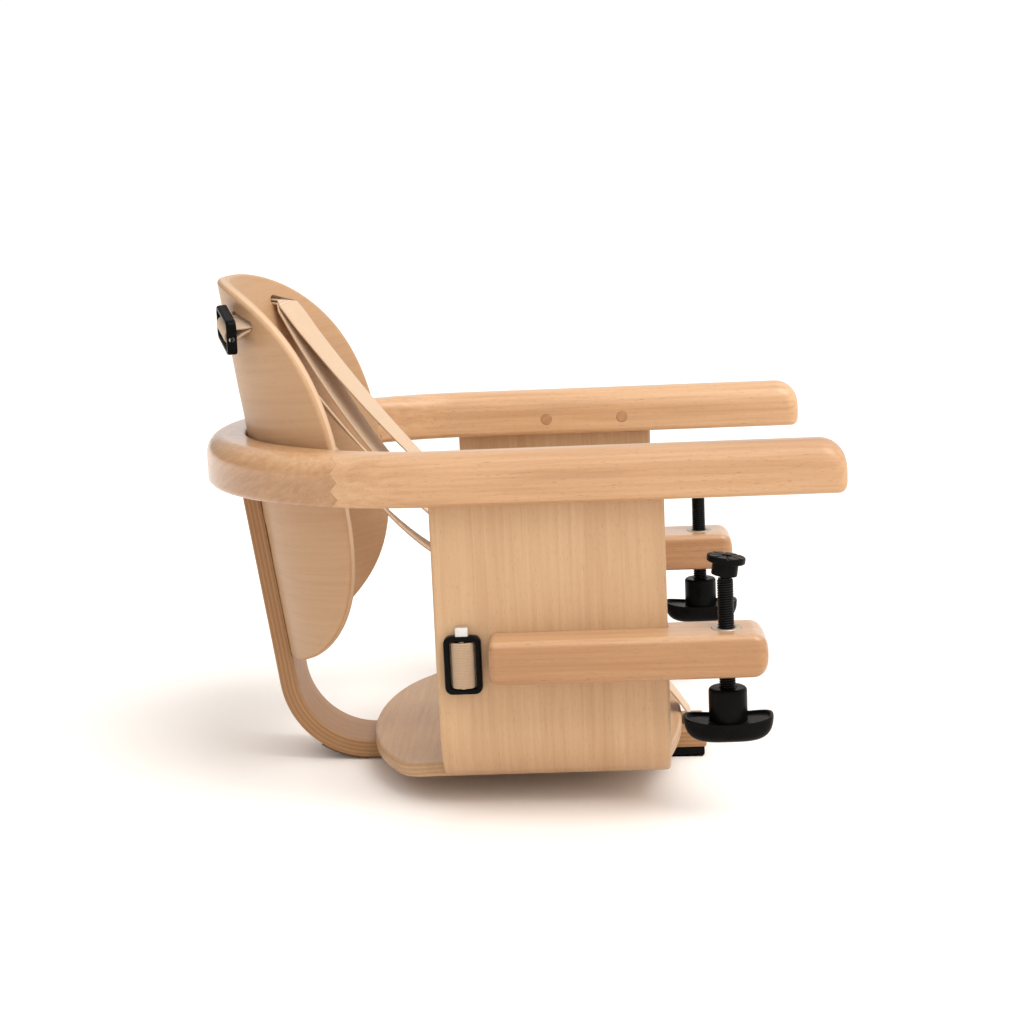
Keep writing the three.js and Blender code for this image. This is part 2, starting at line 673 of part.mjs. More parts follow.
// Rows of the outline as { height, spread }: the angle from the middle to the edge at each height
function backRows() {
  const rows = [];
  const lastAngle = radians(88);
  for (let i = -BACK_ROWS; i <= BACK_ROWS; i++) {
    const angle = (Math.abs(i) / BACK_ROWS) * lastAngle;
    const fullness = i < 0 ? BACK_BOTTOM_FULLNESS : BACK_TOP_FULLNESS;
    const reach = (i < 0 ? BACK_BOTTOM : BACK_TOP) - BACK_WIDEST;
    rows.push({
      height: BACK_WIDEST + reach * Math.sin(angle) ** (2 / fullness),
      spread: radians(BACK_HALF_ANGLE) * Math.cos(angle) ** (2 / fullness),
    });
  }
  return rows;
}

// Body between an outer and an inner grid of points
function slab(outer, inner) {
  const rows = outer.length;
  const columns = outer[0].length;
  const size = rows * columns;
  const at = (i, j, layer) => layer * size + i * columns + j;
  const triangles = [];
  const quad = (a, b, c, d) => triangles.push(a, b, c, a, c, d);
  for (let i = 0; i < rows - 1; i++) {
    for (let j = 0; j < columns - 1; j++) {
      quad(at(i, j, 0), at(i, j + 1, 0), at(i + 1, j + 1, 0), at(i + 1, j, 0));
      quad(at(i, j, 1), at(i + 1, j, 1), at(i + 1, j + 1, 1), at(i, j + 1, 1));
    }
    quad(at(i, 0, 0), at(i + 1, 0, 0), at(i + 1, 0, 1), at(i, 0, 1));
    quad(at(i, columns - 1, 1), at(i + 1, columns - 1, 1), at(i + 1, columns - 1, 0), at(i, columns - 1, 0));
  }
  for (let j = 0; j < columns - 1; j++) {
    quad(at(0, j, 1), at(0, j + 1, 1), at(0, j + 1, 0), at(0, j, 0));
    quad(at(rows - 1, j, 0), at(rows - 1, j + 1, 0), at(rows - 1, j + 1, 1), at(rows - 1, j, 1));
  }
  return body([...outer, ...inner].flat().flatMap((p) => p.toArray()), triangles);
}

function backrest() {
  const grid = (radius) => backRows().map(({ height, spread }) =>
    Array.from({ length: BACK_COLUMNS + 1 }, (_, j) => {
      const share = (2 * j) / BACK_COLUMNS - 1;
      return backPoint(height, share * spread, radius);
    }));
  const slot = moved(strapSlotTool(BACK_THICK), backSlotFrame());
  const holes = backScrewFrames.map((frame) => moved(countersunkHole(BACK_SCREW), frame));
  return cut(slab(grid(BACK_OUTER), grid(BACK_OUTER - BACK_THICK)), [slot, mirrored(slot), ...holes]);
}

add('backrest', backrest(), PLYWOOD);

// Spine

const bendX = BOW_CENTRE_X - LEAN_TAN * (SPINE_BOTTOM_Z + SPINE_BEND) + (SPINE_BEND - SPINE_REAR) / LEAN_COS;
const bendZ = SPINE_BOTTOM_Z + SPINE_BEND;

function spineOutline() {
  const shape = new THREE.Shape();
  const faceX = (distance) => BOW_CENTRE_X - LEAN_TAN * SPINE_RISE - distance / LEAN_COS;
  const start = Math.PI + LEAN_ANGLE;
  shape.moveTo(SPINE_FRONT, SPINE_BOTTOM_Z);
  shape.lineTo(SPINE_FRONT, SPINE_TOP_Z);
  shape.absarc(bendX, bendZ, SPINE_BEND - SPINE_THICK, 1.5 * Math.PI, start, true);
  shape.lineTo(faceX(SPINE_REAR - SPINE_THICK), SPINE_RISE);
  shape.lineTo(faceX(SPINE_REAR), SPINE_RISE);
  shape.absarc(bendX, bendZ, SPINE_BEND, start, 1.5 * Math.PI);
  shape.closePath();
  return shape;
}

// Cylinder of the backrest's outer face, from just under the backrest to above the spine
function backrestRoom() {
  const low = BACK_BOTTOM - FIT;
  const high = BACK_TOP;
  const room = turned([[0, low], [ARM_INNER_HALF, low], [ARM_INNER_HALF, high], [0, high]], 2 * BOW_STEPS);
  return moved(room, facing(vec(BOW_CENTRE_X, 0, 0), BACK_UP));
}

function spine() {
  const strapRecess = block(CROTCH_START_X - FIT, SPINE_FRONT + BREAKOUT, -STRAP_WIDTH / 2 - FIT,
    STRAP_WIDTH / 2 + FIT, SPINE_TOP_Z - STRAP_THICK - FIT, SPINE_TOP_Z + BREAKOUT);
  const holes = [
    ...spineScrewHoles,
    ...backScrewFrames.map((frame) => moved(countersunkHole(BACK_SCREW), frame)),
    ...seatScrewFrames.map((frame) => moved(countersunkHole(SEAT_SCREW), frame)),
  ];
  return cut(acrossY(spineOutline(), SPINE_WIDTH, 10), [backrestRoom(), strapRecess, ...holes]);
}

add('spine', spine(), PLYWOOD);

spineScrewFrames.forEach((frame, i) =>
  add(`spine_screw_${SIDES[i].name}`, moved(countersunkScrew(SPINE_SCREW), frame), ZINC));
backScrewFrames.forEach((frame, i) =>
  add(`back_screw_${i + 1}`, moved(countersunkScrew(BACK_SCREW), frame), ZINC));
seatScrewFrames.forEach((frame, i) =>
  add(`seat_screw_${i + 1}`, moved(countersunkScrew(SEAT_SCREW), frame), ZINC));

// Feet

function frontFoot() {
  const front = SPINE_FRONT - FRONT_FOOT_SETBACK;
  const rear = front - FRONT_FOOT_LENGTH;
  const top = SPINE_BOTTOM_Z - FIT;
  const shape = new THREE.Shape();
  shape.moveTo(rear, top);
  shape.lineTo(rear, FLOOR_Z + FRONT_FOOT_CHAMFER);
  shape.lineTo(rear + FRONT_FOOT_CHAMFER, FLOOR_Z);
  shape.lineTo(front - FRONT_FOOT_CHAMFER, FLOOR_Z);
  shape.lineTo(front, FLOOR_Z + FRONT_FOOT_CHAMFER);
  shape.lineTo(front, top);
  shape.closePath();
  return acrossY(shape, SPINE_WIDTH);
}

function heelPad() {
  const inner = SPINE_BEND + FIT;
  const start = 1.5 * Math.PI - radians(HEEL_PAD_START);
  const end = 1.5 * Math.PI - radians(HEEL_PAD_END);
  const shape = new THREE.Shape();
  shape.absarc(bendX, bendZ, inner + HEEL_PAD_THICK, start, end);
  shape.absarc(bendX, bendZ, inner, end, start, true);
  shape.closePath();
  return acrossY(shape, SPINE_WIDTH - 2 * HEEL_PAD_SETBACK, 8);
}

add('front_foot', frontFoot(), RUBBER);
add('heel_pad', heelPad(), FELT);

// Clamps

// Bar with its rear part rebated, so that it lies along the panel and its head reaches in ahead of it
function clampBar() {
  const tail = noseStations(BAR_TAIL, BAR_TAIL, BAR_TAIL);
  const nose = noseStations(BAR_NOSE_SIDE, BAR_NOSE, BAR_NOSE);
  const ringAt = (x, inset) => barSection(BAR_WIDTH, BAR_HEIGHT, BAR_ROUND, BAR_ROUND, inset)
    .map(([u, z]) => vec(x, BAR_INNER_HALF + u, BAR_BOTTOM_Z + z));
  const rearRings = tail.map(({ distance, inset }) => ringAt(BAR_REAR + distance, inset));
  const frontRings = nose.map(({ distance, inset }) => ringAt(BAR_FRONT - distance, inset)).reverse();
  const flangeRoom = INSERT_FLANGE_RADIUS + FIT;
  const flangeSeat = -BAR_DROP + INSERT_FLANGE_PROUD - INSERT_FLANGE_THICK - FIT;
  const sleeveRoom = INSERT_RADIUS + FIT;
  const sleeveEnd = -BAR_DROP + INSERT_FLANGE_PROUD - INSERT_LENGTH - FIT;
  const rodRoom = ROD_RADIUS + 2 * FIT;
  const bore = turned([
    [0, BAR_BOTTOM_Z - BREAKOUT],
    [rodRoom, BAR_BOTTOM_Z - BREAKOUT],
    [rodRoom, sleeveEnd],
    [sleeveRoom, sleeveEnd],
    [sleeveRoom, flangeSeat],
    [flangeRoom, flangeSeat],
    [flangeRoom, -BAR_DROP + BREAKOUT],
    [0, -BAR_DROP + BREAKOUT],
  ]);
  bore.translate(CLAMP_X, CLAMP_HALF, 0);
  const rebate = block(BAR_REAR - BREAKOUT, PANEL_DEPTH + FIT, BAR_INNER_HALF - BREAKOUT,
    PANEL_OUTER_HALF + FIT, BAR_BOTTOM_Z - BREAKOUT, BREAKOUT - BAR_DROP);
  const holes = barScrewFrames.map((frame) => moved(shankHole(BAR_SCREW), frame));
  return cut(loft([...rearRings, ...frontRings]), [rebate, bore, ...holes]);
}

function threadedInsert() {
  const top = -BAR_DROP + INSERT_FLANGE_PROUD;
  const bore = ROD_RADIUS + FIT;
  return turned([
    [bore, top],
    [bore, top - INSERT_LENGTH],
    [INSERT_RADIUS, top - INSERT_LENGTH],
    [INSERT_RADIUS, top - INSERT_FLANGE_THICK],
    [INSERT_FLANGE_RADIUS, top - INSERT_FLANGE_THICK],
    [INSERT_FLANGE_RADIUS, top],
    [bore, top],
  ]);
}

// Rod with a neck and a ball on its upper end
function clampScrew() {
  const hubTop = BAR_BOTTOM_Z - KNOB_GAP;
  const neckAngle = Math.asin(NECK_RADIUS / BALL_RADIUS);
  const steps = 5;
  const ball = Array.from({ length: steps + 1 }, (_, i) => {
    const angle = Math.PI - neckAngle - (i / steps) * (Math.PI - neckAngle);
    return [i === steps ? 0 : BALL_RADIUS * Math.sin(angle), BALL_Z + BALL_RADIUS * Math.cos(angle)];
  });
  return turned([
    [0, hubTop - ROD_ENTRY],
    [ROD_RADIUS, hubTop - ROD_ENTRY],
    [ROD_RADIUS, BALL_Z - NECK_DROP],
    [NECK_RADIUS, BALL_Z - NECK_DROP],
    ...ball,
  ]);
}

// Ring between the ball and the pad: it is snapped over the ball and lets the pad tilt
function swivelCup() {
  const zone = (radius, turn) => {
    const steps = 4;
    const edge = Math.asin(CUP_HALF_HEIGHT / radius);
    return Array.from({ length: steps + 1 }, (_, i) => {
      const angle = turn * edge * ((2 * i) / steps - 1);
      return [radius * Math.cos(angle), radius * Math.sin(angle)];
    });
  };
  const bore = BALL_RADIUS + FIT;
  const outer = zone(bore + CUP_WALL, -1);
  return turned([...outer, ...zone(bore, 1), outer[0]]);
}

// Swivel pad about the ball's centre, with a socket that is open downwards
function pressurePad() {
  const low = -BALL_DEPTH;
  const high = PAD_HEIGHT - BALL_DEPTH;
  const socket = BALL_RADIUS + CUP_WALL + 2 * FIT;
  const edge = 1.2;
  return turned([
    [0, high],
    [PAD_RADIUS - edge, high],
    [PAD_RADIUS, high - edge],
    [PAD_RADIUS, high - PAD_DISC_THICK],
    [PAD_HUB_RADIUS, high - PAD_DISC_THICK],
    [PAD_HUB_RADIUS, low],
    [PAD_LIP_RADIUS, low],
    [PAD_LIP_RADIUS, low + PAD_LIP],
    [socket, low + PAD_LIP],
    [socket, BALL_RADIUS + FIT],
    [0, BALL_RADIUS + FIT],
  ]);
}

// Point on a rounded outline of the given power, with half sizes of one
function rounded(angle, power) {
  const along = (value) => Math.sign(value) * Math.abs(value) ** (2 / power);
  return [along(Math.cos(angle)), along(Math.sin(angle))];
}

// Outline of the grip from above, at a share of its size and less an inset
function gripRing(share, inset, z) {
  const points = 40;
  return Array.from({ length: points }, (_, i) => {
    const [u, v] = rounded((i / points) * 2 * Math.PI, KNOB_SQUARENESS);
    return vec((share * KNOB_HALF_LENGTH - inset) * u, (share * KNOB_HALF_WIDTH - inset) * v, z);
  });
}

// Long bowl-shaped grip with a hollow top and a round hub
function knob() {
  const hubTop = BAR_BOTTOM_Z - KNOB_GAP;
  const rim = hubTop - KNOB_HUB_HEIGHT;
  const steps = 6;
  const bowl = loft(Array.from({ length: steps + 1 }, (_, i) => {
    const [out, down] = rounded((i / steps) * Math.PI / 2, KNOB_FULLNESS);
    return gripRing(KNOB_FOOT_SHARE + (1 - KNOB_FOOT_SHARE) * out, 0, rim - KNOB_HEIGHT * down);
  }));
  const hollow = loft([gripRing(1, KNOB_LIP, rim + BREAKOUT), gripRing(1, KNOB_LIP, rim - KNOB_DISH)]);
  const hubEdge = 1.5;
  const hub = turned([
    [0, hubTop],
    [KNOB_HUB_RADIUS - hubEdge, hubTop],
    [KNOB_HUB_RADIUS, hubTop - hubEdge],
    [KNOB_HUB_RADIUS, rim - KNOB_HEIGHT / 2],
    [0, rim - KNOB_HEIGHT / 2],
  ], 24);
  const bore = turned([
    [0, hubTop + BREAKOUT],
    [ROD_RADIUS + FIT, hubTop + BREAKOUT],
    [ROD_RADIUS + FIT, hubTop - ROD_ENTRY - FIT],
    [0, hubTop - ROD_ENTRY - FIT],
  ]);
  return cut(join([cut(bowl, [hollow]), hub]), [bore]);
}

const bar = clampBar();
for (const { name, sign } of SIDES) {
  add(`clamp_bar_${name}`, onSide(bar, sign), BEECH);
  barScrewFrames.forEach((frame, i) =>
    add(`bar_screw_${name}_${i + 1}`, onSide(moved(panScrew(BAR_SCREW), frame), sign), BLACK_STEEL));
  const clamp = new THREE.Group();
  clamp.position.set(CLAMP_X, sign * CLAMP_HALF, 0);
  chair.add(clamp);
  add(`threaded_insert_${name}`, threadedInsert(), ZINC, clamp);
  add(`clamp_screw_${name}`, clampScrew(), BLACK_STEEL, clamp);
  add(`knob_${name}`, knob(), BLACK_PLASTIC, clamp);
  const ballJoint = new THREE.Group();
  ballJoint.position.set(0, 0, BALL_Z);
  clamp.add(ballJoint);
  add(`swivel_cup_${name}`, swivelCup(), BLACK_PLASTIC, ballJoint);
  const pad = add(`pressure_pad_${name}`, pressurePad(), BLACK_PLASTIC, ballJoint);
  pad.rotation.y = radians(PAD_TILT);
}

// Strap sliders: a frame with a pin across it, in the slot's frame

const pinZ = FIT + SLIDER_THICK / 2;
const openingHalf = (STRAP_WIDTH + SLIDER_PLAY) / 2;

// Pin from its blind end to an end that stands out of the slider's rim by a length, with a gap all round
function sliderPin(proud, gap) {
  const start = -openingHalf - PIN_HOLD - gap;
  const end = openingHalf + SLIDER_MARGIN + proud;
  const radius = PIN_RADIUS + gap;
  const pin = turned([[0, start], [radius, start], [radius, end], [0, end]], 14);
  pin.rotateY(Math.PI / 2);
  pin.translate(0, 0, pinZ);
  return pin;
}

// Pin with a head as thick as the slider on its proud end
function waistPin() {
  const outline = roundedRectangle(SLIDER_THICK / 2, WAIST_HEAD_WIDTH / 2, WAIST_HEAD_CORNER);
  const head = extruded(outline, WAIST_PIN_PROUD - FIT, 3);
  head.rotateY(Math.PI / 2);
  head.translate(openingHalf + SLIDER_MARGIN + FIT, 0, pinZ);
  return join([sliderPin(WAIST_PIN_PROUD, 0), head]);
}

function slider() {
  const outline = roundedRectangle(openingHalf + SLIDER_MARGIN, SLIDER_OPENING / 2 + SLIDER_MARGIN,
    SLIDER_CORNER);
  outline.holes.push(roundedRectangle(openingHalf, SLIDER_OPENING / 2, SLIDER_CORNER / 2, THREE.Path));
  const rim = extruded(outline, SLIDER_THICK, 3);
  rim.translate(0, 0, FIT);
  return cut(rim, [sliderPin(BREAKOUT, FIT)]);
}

// Frame of a left shoulder slider, which hangs below its slot and stands off the back at its outer end
function hungFrame() {
  const innerEnd = -openingHalf - SLIDER_MARGIN;
  return backSlotFrame()
    .multiply(new THREE.Matrix4().makeTranslation(innerEnd, HANG_DROP, HANG_LIFT))
    .multiply(new THREE.Matrix4().makeRotationY(-radians(HANG_TILT)))
    .multiply(new THREE.Matrix4().makeTranslation(-innerEnd, 0, 0));
}

for (const { name, sign } of SIDES) {
  add(`shoulder_slider_${name}`, onSide(moved(slider(), hungFrame()), sign), BLACK_PLASTIC);
  add(`shoulder_pin_${name}`, onSide(moved(sliderPin(0, 0), hungFrame()), sign), ZINC);
  add(`waist_slider_${name}`, onSide(moved(slider(), waistSlotFrame()), sign), BLACK_PLASTIC);
  add(`waist_pin_${name}`, onSide(moved(waistPin(), waistSlotFrame()), sign), ZINC);
}

// Buckle

const buckleMatrix = new THREE.Matrix4().makeRotationAxis(vec(0, 1, 0), -radians(BUCKLE_PITCH))
  .multiply(new THREE.Matrix4().makeBasis(vec(0, 1, 0), vec(0, 0, 1), vec(1, 0, 0)))
  .setPosition(vec(BUCKLE_X, 0, -BUCKLE_DROP));
const strapHole = STRAP_WIDTH + 2 * FIT + 1;
const tongueInner = HOUSING_HALF_WIDTH + FIT;
const tongueOuter = tongueInner + strapHole + 2 * TONGUE_MARGIN + TONGUE_BAR;
const tongueLow = -strapHole / 2 - TONGUE_MARGIN;
const tongueHigh = strapHole / 2 + TONGUE_MARGIN + TONGUE_SLOT + TONGUE_BAR;
const shoulderBar = vec(tongueInner + TONGUE_MARGIN + strapHole / 2, tongueHigh - TONGUE_BAR / 2, 0);
const waistBar = vec(tongueOuter - TONGUE_BAR / 2, 0, 0);
const crotchBar = vec(0, -HOUSING_HALF_HEIGHT - TONGUE_SLOT - TONGUE_BAR / 2, 0);

function rectangle(x0, x1, y0, y1, PathType = THREE.Path) {
  const path = new PathType();
  path.moveTo(x0, y0);
  path.lineTo(x1, y0);
  path.lineTo(x1, y1);
  path.lineTo(x0, y1);
  path.closePath();
  return path;
}

function centredPlate(shape, thickness) {
  const plate = extruded(shape, thickness, 4);
  plate.translate(0, 0, -thickness / 2);
  return plate;
}

function buckleTongue() {
  const shape = rectangle(tongueInner, tongueOuter, tongueLow, tongueHigh, THREE.Shape);
  const slotTop = tongueHigh - TONGUE_BAR;
  const slotRight = tongueOuter - TONGUE_BAR;
  shape.holes.push(rectangle(shoulderBar.x - strapHole / 2, shoulderBar.x + strapHole / 2,
    slotTop - TONGUE_SLOT, slotTop));
  shape.holes.push(rectangle(slotRight - TONGUE_SLOT, slotRight, -strapHole / 2, strapHole / 2));
  const blade = rectangle(tongueInner - BLADE_LENGTH, tongueInner + TONGUE_MARGIN / 2,
    -BLADE_HALF_HEIGHT, BLADE_HALF_HEIGHT, THREE.Shape);
  return join([centredPlate(shape, TONGUE_THICK), centredPlate(blade, TONGUE_THICK)]);
}

function buckleHousing() {
  const shell = centredPlate(roundedRectangle(HOUSING_HALF_WIDTH, HOUSING_HALF_HEIGHT, HOUSING_CORNER),
    HOUSING_THICK);
  const tabHalf = strapHole / 2 + TONGUE_MARGIN;
  const tabLow = -HOUSING_HALF_HEIGHT - TONGUE_SLOT - TONGUE_BAR;
  const tab = rectangle(-tabHalf, tabHalf, tabLow, 0, THREE.Shape);
  tab.holes.push(rectangle(-strapHole / 2, strapHole / 2, tabLow + TONGUE_BAR,
    tabLow + TONGUE_BAR + TONGUE_SLOT));
  const pocketHeight = BLADE_HALF_HEIGHT + FIT;
  const pocketThick = TONGUE_THICK / 2 + FIT;
  const pocketEnd = tongueInner - BLADE_LENGTH - FIT;
  const pocket = block(pocketEnd, HOUSING_HALF_WIDTH + BREAKOUT, -pocketHeight, pocketHeight,
    -pocketThick, pocketThick);
  const otherPocket = pocket.clone();
  otherPocket.scale(-1, 1, 1);
  const wellFloor = HOUSING_THICK / 2 + BUTTON_PROUD - BUTTON_THICK - BUTTON_TRAVEL - FIT;
  const well = turned([
    [0, wellFloor],
    [BUTTON_RADIUS + FIT, wellFloor],
    [BUTTON_RADIUS + FIT, HOUSING_THICK],
    [0, HOUSING_THICK],
  ]);
  return cut(join([shell, centredPlate(tab, TONGUE_THICK)]), [pocket, welded(otherPocket), well]);
}

function buckleButton() {
  const top = HOUSING_THICK / 2 + BUTTON_PROUD;
  const edge = 0.8;
  return turned([
    [0, top - BUTTON_THICK],
    [BUTTON_RADIUS, top - BUTTON_THICK],
    [BUTTON_RADIUS, top - edge],
    [BUTTON_RADIUS - edge, top],
    [0, top],
  ]);
}

add('buckle_housing', moved(buckleHousing(), buckleMatrix), BLACK_PLASTIC);
add('buckle_button', moved(buckleButton(), buckleMatrix), BLACK_PLASTIC);
for (const { name, sign } of SIDES) {
  add(`buckle_tongue_${name}`, onSide(moved(buckleTongue(), buckleMatrix), sign), BLACK_PLASTIC);
}

// Straps

// Corners of a flat strap's section at each point of a path, given its width direction there
function strapRings(path, loop) {
  return path.map(({ point, across }, i) => {
    const before = path[loop ? (i + path.length - 1) % path.length : Math.max(i - 1, 0)].point;
    const after = path[loop ? (i + 1) % path.length : Math.min(i + 1, path.length - 1)].point;
    const ahead = after.clone().sub(before).normalize();
    const side = across.clone().addScaledVector(ahead, -across.dot(ahead)).setLength(STRAP_WIDTH / 2);
    const face = new THREE.Vector3().crossVectors(ahead, side).setLength(STRAP_THICK / 2);
    return [[1, 1], [-1, 1], [-1, -1], [1, -1]].map(([s, f]) =>
      point.clone().addScaledVector(side, s).addScaledVector(face, f));
  });
}

// Half turn round a bar along the frame's x axis, from one side to the other
function wrap(frame, halfWidth, depth, centreZ, from) {
  const across = new THREE.Vector3().setFromMatrixColumn(frame, 0);
  return Array.from({ length: WRAP_STEPS + 1 }, (_, i) => {
    const angle = (i / WRAP_STEPS) * Math.PI;
    const local = vec(0, from * halfWidth * Math.cos(angle), centreZ + depth * Math.sin(angle));
    return { point: local.applyMatrix4(frame), across };
  });
}

const layerPoint = (frame, y, z) => ({
  point: vec(0, y, z).applyMatrix4(frame),
  across: new THREE.Vector3().setFromMatrixColumn(frame, 0),
});

// Free run from one strap point to another, hanging off the straight line by a slack vector
function freeRun(start, end, slack) {
  return Array.from({ length: STRAP_STEPS }, (_, i) => {
    const share = (i + 1) / (STRAP_STEPS + 1);
    const point = start.point.clone().lerp(end.point, share)
      .addScaledVector(slack, 4 * share * (1 - share));
    return { point, across: start.across.clone().lerp(end.across, share) };
  });
}

// Strap in a loop from a slider's bar, through its slot, to a bar of a buckle tongue and back.
// The first run leaves the slot on the side given by slotSide and meets the tongue on tongueSide
function strapLoop(slot, slotSide, tongueFrame, tongueSide, slacks) {
  const foldDepth = PIN_RADIUS + FIT + STRAP_THICK / 2;
  const tongueRadius = Math.hypot(TONGUE_BAR, TONGUE_THICK) / 2 + FIT + STRAP_THICK / 2;
  const inSlot = (side, depth) => layerPoint(slot.frame, slot.drop + side * LAYER_OFFSET, -depth);
  const atTongue = (side, depth) => layerPoint(tongueFrame, side * tongueRadius, -depth);
  const slotEnd = slot.depth + slot.lead;
  const out = inSlot(-slotSide, slotEnd);
  const back = inSlot(slotSide, slotEnd);
  const first = atTongue(tongueSide, STRAP_LEAD);
  const second = atTongue(-tongueSide, STRAP_LEAD);
  return strapRings([
    out,
    inSlot(-slotSide, slot.depth),
    inSlot(-slotSide, -slot.rise),
    ...wrap(slot.sliderFrame, FOLD_HALF, foldDepth, pinZ, -slotSide),
    inSlot(slotSide, -slot.rise),
    inSlot(slotSide, slot.depth),
    back,
    ...freeRun(back, first, slacks[0]),
    first,
    atTongue(tongueSide, STRAP_LEAD / 2),
    ...wrap(tongueFrame, tongueRadius, tongueRadius, 0, tongueSide),
    atTongue(-tongueSide, STRAP_LEAD / 2),
    second,
    ...freeRun(second, out, slacks[1]),
  ], true);
}

const buckleAxis = (i) => new THREE.Vector3().setFromMatrixColumn(buckleMatrix, i);
const tongueShoulderFrame = frameOf(shoulderBar.clone().applyMatrix4(buckleMatrix), buckleAxis(0),
  buckleAxis(1).negate());
const tongueWaistFrame = frameOf(waistBar.clone().applyMatrix4(buckleMatrix), buckleAxis(1),
  buckleAxis(0).negate());

// The shoulder straps lie low in their slots, where they just clear the slots' round ends
const slotEndRadius = SLOT_WIDTH / 2;
const pastEndCentre = Math.max(0, FIT + (SLOT_WIDTH - SLOT_PLAY) / 2);
const lowestFace = Math.sqrt(slotEndRadius ** 2 - pastEndCentre ** 2);
const shoulderSlot = {
  frame: backSlotFrame(),
  sliderFrame: hungFrame(),
  depth: BACK_THICK,
  drop: lowestFace - FIT / 2 - STRAP_THICK / 2 - LAYER_OFFSET,
  lead: SHOULDER_LEAD,
  rise: SHOULDER_RISE,
};
const waistSlot = {
  frame: waistSlotFrame(),
  sliderFrame: waistSlotFrame(),
  depth: PANEL_THICK,
  drop: 0,
  lead: STRAP_LEAD,
  rise: 0,
};

for (const { name, sign } of SIDES) {
  const sags = SHOULDER_SAG[name].map((sag) => vec(0, 0, -sag));
  const shoulder = strapLoop(shoulderSlot, -1, tongueShoulderFrame, 1, sags);
  add(`shoulder_strap_${name}`, onSide(loft(shoulder, true), sign), WEBBING);
  const slacks = WAIST_SLACK.map((slack) => vec(...slack));
  const waist = strapLoop(waistSlot, 1, tongueWaistFrame, -1, slacks);
  add(`waist_strap_${name}`, onSide(loft(waist, true), sign), WEBBING);
}

// Crotch strap: from between seat and spine, round the seat's front edge and up to the buckle
function crotchStrap() {
  const across = vec(0, 1, 0);
  const at = (x, z) => ({ point: vec(x, 0, z), across });
  const layZ = SPINE_TOP_Z - STRAP_THICK / 2;
  const edgeZ = PANEL_THICK / 2 - SEAT_DROP;
  const turnRadius = edgeZ - layZ;
  const barFrame = frameOf(crotchBar.clone().applyMatrix4(buckleMatrix), buckleAxis(0), buckleAxis(1));
  const barRadius = Math.hypot(TONGUE_BAR, TONGUE_THICK) / 2 + FIT + STRAP_THICK / 2;
  const arrive = layerPoint(barFrame, -barRadius, -2 * barRadius);
  const turnEnd = radians(90 - BUCKLE_PITCH);
  const steps = 7;
  const turn = Array.from({ length: steps + 1 }, (_, i) => {
    const angle = -Math.PI / 2 + (i / steps) * (Math.PI / 2 + turnEnd);
    return at(SEAT_FRONT + FIT + turnRadius * Math.cos(angle), edgeZ + turnRadius * Math.sin(angle));
  });
  const lastTurn = turn[turn.length - 1];
  const bulge = buckleAxis(2).multiplyScalar(CROTCH_SLACK);
  return loft(strapRings([
    at(CROTCH_START_X, layZ),
    ...turn,
    ...freeRun(lastTurn, arrive, bulge),
    arrive,
    ...wrap(barFrame, barRadius, barRadius, 0, -1),
    layerPoint(barFrame, barRadius, -CROTCH_TAIL),
  ], false));
}

add('crotch_strap', crotchStrap(), WEBBING);

export default chair;
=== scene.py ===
"""Looks of a hook-on table seat: beech ring and clamp bars, bent plywood seat, back and spine, a webbing
harness, black clamp screws and a buckle. Sizes are in millimetres, from the side panels' rear edge, the
middle plane and the arms' underside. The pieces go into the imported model's frame in metres."""

from math import acos, asin, atan2, copysign, cos, hypot, pi, radians, remainder, sin, sqrt, tan

import bmesh
import bpy
from mathutils import Matrix, Vector


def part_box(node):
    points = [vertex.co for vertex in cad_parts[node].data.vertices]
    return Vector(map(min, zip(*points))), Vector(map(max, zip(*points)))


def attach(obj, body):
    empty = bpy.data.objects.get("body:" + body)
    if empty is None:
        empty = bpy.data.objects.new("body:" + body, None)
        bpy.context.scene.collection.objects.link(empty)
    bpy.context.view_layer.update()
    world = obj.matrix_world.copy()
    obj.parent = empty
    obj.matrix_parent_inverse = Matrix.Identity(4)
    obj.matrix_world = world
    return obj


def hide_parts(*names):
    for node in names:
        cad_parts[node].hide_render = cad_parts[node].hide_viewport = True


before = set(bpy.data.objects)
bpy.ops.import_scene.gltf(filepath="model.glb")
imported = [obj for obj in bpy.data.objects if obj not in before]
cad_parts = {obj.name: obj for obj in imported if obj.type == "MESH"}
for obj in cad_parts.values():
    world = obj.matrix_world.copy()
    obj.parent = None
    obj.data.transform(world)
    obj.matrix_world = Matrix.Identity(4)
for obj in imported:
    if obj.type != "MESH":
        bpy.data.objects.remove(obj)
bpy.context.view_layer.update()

SIDES = {"left": 1, "right": -1}
GAP = 0.3  # between pieces
FINE_GAP = 0.2  # between pieces that fit closely
PAST = 5  # how far cutting shapes reach past a piece
HAIR = 0.02  # kept between two roundings that would meet
WELD = 1e-6  # metres
QUARTER = pi / 2

# Ring: the bow and both arms
ARM_OUTER_HALF = 162.5
ARM_WIDTH = 32.5
ARM_HEIGHT = 32
ARM_FRONT = 253
ARM_INNER_HALF = ARM_OUTER_HALF - ARM_WIDTH
ARM_TOP_ROUND = 13.5
ARM_BOTTOM_ROUND = 4
ARM_SECTION = (ARM_WIDTH, ARM_HEIGHT, ARM_TOP_ROUND, ARM_BOTTOM_ROUND)
ARM_NOSE = (8, 16, 5)  # rounding of the front end at its sides, top and bottom
NOSE_STEPS = 10
BOW_CENTRE_X = 3
BOW_STEPS = 72
BOW_INNER_ROUND = 3.5  # of the bow's upper edge along the backrest
BOW_SHARPENING = 1.6  # how soon the arms' rounding gives way to that one
BOARD_TURN = radians(56)  # of the grain in the bow's two boards, from the middle plane
BOARD_TILT = radians(24)  # and out of the level
FINGER_JOINT_X = -57
FINGER_DEPTH = 4.5
FINGERS = 3
GLUE_LINE = 0.12
PLUG_RADIUS = 4
PLUG_DEPTH = 5
